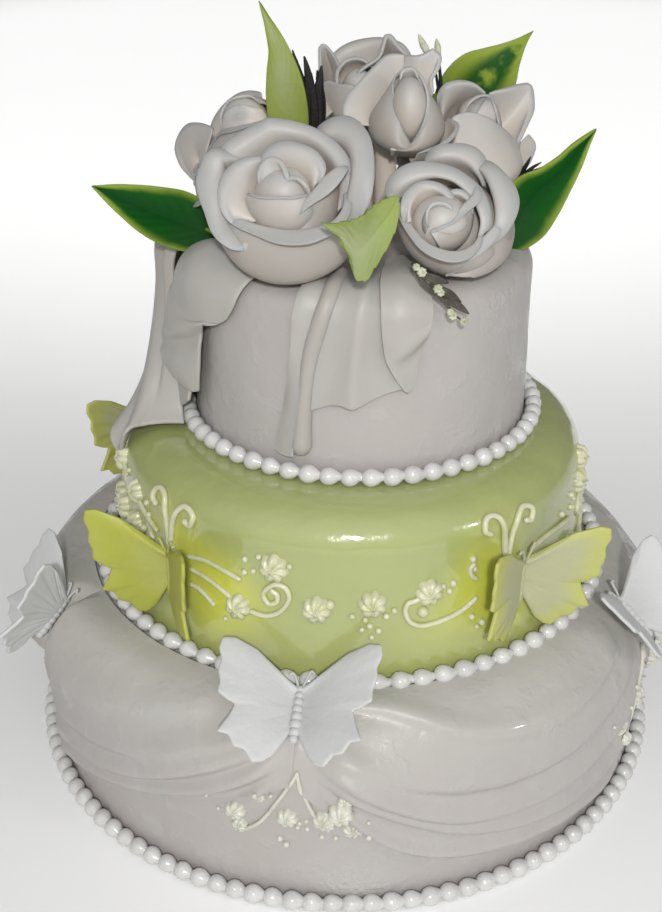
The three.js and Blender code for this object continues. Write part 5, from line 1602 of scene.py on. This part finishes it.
for number, spot in enumerate(greenButterflies):
    tier = tiers["middle"]
    run = float(runAt(tier, np.asarray(float(spot["z"]))))
    wings, _ = butterflyPiece(tier, run, spot, f"greenButterfly{number + 1}", spot["look"], 5.2, 70 + number)
    keep(wings, "lime_wing", spot["node"])
for number, spot in enumerate(whiteButterflies):
    tier = tiers["bottom"]
    wings, body = butterflyPiece(
        tier, spot["run"], spot, f"whiteButterfly{number + 1}", "white", spot["lift"], 80 + number)
    keep(wings, "white_wing", spot["node"])
    keep(body, "white_wing")


def pipeBottom():
    tier, p = tiers["bottom"], bottomPiping
    clay, flowers, dots = Clay(), [], []
    for spot in whiteButterflies:
        start = spot["azimuth"] + spot.get("drift", 0)
        for line in p["stems"]:
            path = smoothLine(np.array(line, float), np.linspace(0, 1, 9 * len(line)))
            lifts = np.array([clothOver(start + a, z) for a, z in path])
            lifts = np.convolve(np.pad(lifts, 3, mode="edge"), np.ones(7) / 7, "valid") + p["stem"] * 0.7
            clay.tube(skin(tier, start + path[:, 0], runAt(tier, path[:, 1]), lifts), p["stem"], 10)
        for a, z, size in p["flowers"]:
            flowers.append(spotOn(tier, start + a, z, p["blossom"] * size, clothOver(start + a, z) + 0.6))
        for a, z, size in p["dots"]:
            dots.append(spotOn(tier, start + a, z, p["dot"] * size, clothOver(start + a, z) + 0.4))
    keep(clay.finish("bottomStems", "milk"), "ivory_icing")
    keep(scatter("bottomBlossoms", "blossom", flowers, "milk", 0.15, 23), "ivory_icing")
    keep(scatter("bottomDots", "bead", dots, "milk", 0.2, 24), "ivory_icing")


pipeBottom()
print("butterflies ready")


# Strands are points from root to tip and their widest radius; the flat ones are leaflets
twigs = [
    {"node": "spray_front", "name": "frontSprig", "look": "olive", "bud": 2.6, "flat": 0.42,
     "strands": [
         ([(32.6, -80, 327.5), (31.6, -96, 333.3), (36.5, -99.5, 325.1), (44.8, -98, 317.5), (51.3, -95.5, 309.1),
           (58.1, -92, 301.3)], 1.2),
         ([(33.0, -98, 330.0), (40.5, -100.5, 328.4), (48.6, -97.5, 324.8)], 2.0),
         ([(38.5, -98, 323.2), (47.0, -98.5, 320.5), (55.6, -93.5, 313.2)], 2.1),
         ([(45.0, -97, 317.6), (52.5, -96, 313.5), (60.1, -91.5, 306.4)], 1.8),
     ],
     "buds": [(32.4, -100.5, 334.0), (35.2, -100.5, 331.4), (43.3, -100.0, 322.8), (44.9, -99.6, 320.6),
              (50.2, -97.4, 309.6), (51.6, -96.6, 307.4), (57.4, -93.6, 303.0)]},
    {"node": "spray_left", "name": "leftSprig", "look": "twig", "bud": 0, "flat": 0.6,
     "strands": [
         ([(-19, 18, 352), (-20.5, 14, 376), (-22.8, 13, 390), (-23.0, 12, 402), (-25.2, 12, 412.5)], 3.4),
         ([(-17, 18, 316), (-18, 18, 352), (-19.6, 14, 372), (-20.2, 12, 388), (-21.6, 12, 404.0)], 3.6),
         ([(-17, 18, 352), (-18.4, 14, 372), (-18.0, 14, 390), (-16.0, 13, 407.5)], 3.6),
         ([(-18, 18, 352), (-20.6, 15, 374), (-24.2, 15, 392), (-27.6, 14, 402), (-31.6, 14, 415.5)], 2.6),
         ([(-17, 18, 352), (-17.6, 15, 374), (-16.6, 15, 390), (-18.4, 14, 405.0)], 3.2),
         ([(-20, 18, 352), (-22.0, 16, 372), (-24.4, 17, 388), (-25.6, 17, 400.6)], 2.8),
     ],
     "buds": []},
    {"node": "spray_right", "name": "rightSprig", "look": "twig", "bud": 1.8, "flat": 0.6,
     "strands": [
         ([(84, 16, 316), (90, 12, 336), (96, 4, 350), (100.1, 2, 355.7), (104.8, 1, 359.0)], 2.0),
         ([(90, 14, 336), (98, 5, 349), (103, 3, 354), (108.3, 2, 356.8)], 1.8),
         ([(90, 14, 336), (95, 5, 352), (97, 3, 357), (99, 2, 362)], 1.6),
     ],
     "buds": [(104.5, 2, 354.6)]},
    {"node": "spray_back", "name": "backSprig", "look": "twig", "bud": 2.0, "flat": 0.7,
     "strands": [
         ([(46, 36, 316), (52, 40, 350), (51.5, 40, 372), (49.5, 40, 390), (46.3, 40, 404), (43.9, 40, 411.6)], 1.2),
         ([(52, 40, 372), (51, 40, 390), (49.6, 40, 402), (48.2, 40, 410)], 1.1),
     ],
     "tips": [
         ([(44.4, 40, 408), (41.2, 40, 412.4), (37.2, 40, 419.8)], 1.9),
         ([(47.9, 40, 406), (48.2, 40, 411.0), (47.2, 40, 417.6)], 1.8),
         ([(45.4, 40, 405), (44.0, 40, 409.0), (43.0, 40, 412.4)], 1.6),
     ],
     "buds": []},
]


def strand(clay, line, radius, flat, look=0):  # a pointed strand, flattened from the front
    part = np.linspace(0, 1, 14)
    path = smoothLine(np.array(line, float), part, knotsOf(line))
    swell = np.sin(math.pi * (0.12 + 0.86 * part)) ** 0.7
    across = unit(np.cross(np.gradient(path, axis=0), np.array([0.0, -1.0, 0.3])))
    for shift in (-1, 0, 1):
        offset = across * (shift * radius * (1 - flat) * swell)[:, None]
        clay.tube(path + offset, radius * (flat + 0.08) * swell, 8, look)


def twigPiece(twig, seed):
    clay = Clay()
    for line, radius in twig["strands"]:
        strand(clay, line, radius, twig["flat"])
    for line, radius in twig.get("tips", []):
        strand(clay, line, radius, twig["flat"], 1)
    keep(clay.finish(twig["name"], twig["look"], "bud"), "twig", twig["node"])
    if twig["buds"]:
        spots = [(point, (0.3, -1.0, 0.4), twig["bud"]) for point in twig["buds"]]
        keep(scatter(twig["name"] + "Buds", "blossom", spots, "bud", 0.3, seed), "twig")


for number, twig in enumerate(twigs):
    twigPiece(twig, 90 + number)
for shape in shapes.values():
    bpy.data.objects.remove(shape)
print("twigs ready")


studio = {
    "floor": (0.92, 0.92, 0.915), "room": (1.0, 1.0, 1.0), "front": 0.92, "side": 0.15, "reach": 0.28,
    "key": {"at": (0.04, -1.30, 0.94), "size": 0.10, "power": 12.0, "colour": (1.0, 1.0, 0.995)},
    "lamp": {"at": (1.15, -0.75, 0.70), "size": 0.12, "power": 1.6, "colour": (1.0, 1.0, 1.0)},
    "behind": {"at": (0.0, 2.3, 1.6), "to": (0.0, 2.4, 0.0), "size": 3.8, "power": 24.0, "spread": 50,
               "colour": (1.0, 1.0, 1.0)},
}


def makeFloor():
    paint = Paint("paleFloor")
    tone = paint.mix(paint.noise(3.0), studio["floor"], [0.985 * k for k in studio["floor"]])
    material = paint.finish(Base_Color=tone, Roughness=0.75)
    mesh = bpy.data.meshes.new("floor")
    mesh.from_pydata([(-6, -6, 0), (6, -6, 0), (6, 6, 0), (-6, 6, 0)], [], [(0, 1, 2, 3)])
    mesh.materials.append(material)
    floor = bpy.data.objects.new("floor", mesh)
    bpy.context.scene.collection.objects.link(floor)


def makeLight(name):
    values = studio[name]
    lamp = bpy.data.lights.new(name + "Light", "AREA")
    lamp.shape = "DISK"
    lamp.size = values["size"]
    lamp.energy = values["power"]
    lamp.color = values["colour"]
    lamp.spread = math.radians(values.get("spread", 180))
    light = bpy.data.objects.new(name + "Light", lamp)
    light.location = values["at"]
    aim = Vector(values.get("to", (0, 0, 0.2))) - Vector(values["at"])
    light.rotation_euler = aim.to_track_quat("-Z", "Y").to_euler()
    bpy.context.scene.collection.objects.link(light)


def makeWorld():  # a soft room: brightest behind the camera and overhead, dimmer at the sides
    world = bpy.data.worlds.new("softRoom")
    world.use_nodes = True
    tree = world.node_tree
    background = tree.nodes["Background"]
    view = tree.nodes.new("ShaderNodeTexCoord")
    toFront = tree.nodes.new("ShaderNodeVectorMath")
    toFront.operation = "DOT_PRODUCT"
    toFront.inputs[1].default_value = Vector((0.0, -0.80, 0.60))
    spread = tree.nodes.new("ShaderNodeMapRange")
    spread.interpolation_type = "SMOOTHSTEP"
    spread.inputs["From Min"].default_value = studio["reach"]
    spread.inputs["To Min"].default_value = studio["side"]
    spread.inputs["To Max"].default_value = studio["front"]
    tree.links.new(view.outputs["Generated"], toFront.inputs[0])
    tree.links.new(toFront.outputs["Value"], spread.inputs["Value"])
    tree.links.new(spread.outputs["Result"], background.inputs["Strength"])
    background.inputs["Color"].default_value = opaque(studio["room"])
    bpy.context.scene.world = world


cameraValues = {"at": (0.0, -0.64297, 0.52332), "down": 28.425, "left": 0.950, "lens": 46.23}


def makeCamera():
    c = cameraValues
    pitch, yaw = math.radians(c["down"]), math.radians(-c["left"])
    ahead = Vector((math.sin(yaw) * math.cos(pitch), math.cos(yaw) * math.cos(pitch), -math.sin(pitch)))
    lens = bpy.data.cameras.new("camera")
    lens.lens = c["lens"]
    lens.sensor_width = 36.0
    lens.sensor_fit = "AUTO"
    camera = bpy.data.objects.new("camera", lens)
    camera.location = c["at"]
    camera.rotation_euler = ahead.to_track_quat("-Z", "Y").to_euler()
    bpy.context.scene.collection.objects.link(camera)
    bpy.context.scene.camera = camera


makeFloor()
makeWorld()
for name in ("key", "lamp", "behind"):
    makeLight(name)
makeCamera()
bpy.context.scene.view_settings.view_transform = "Standard"
print("floor, light and camera ready")
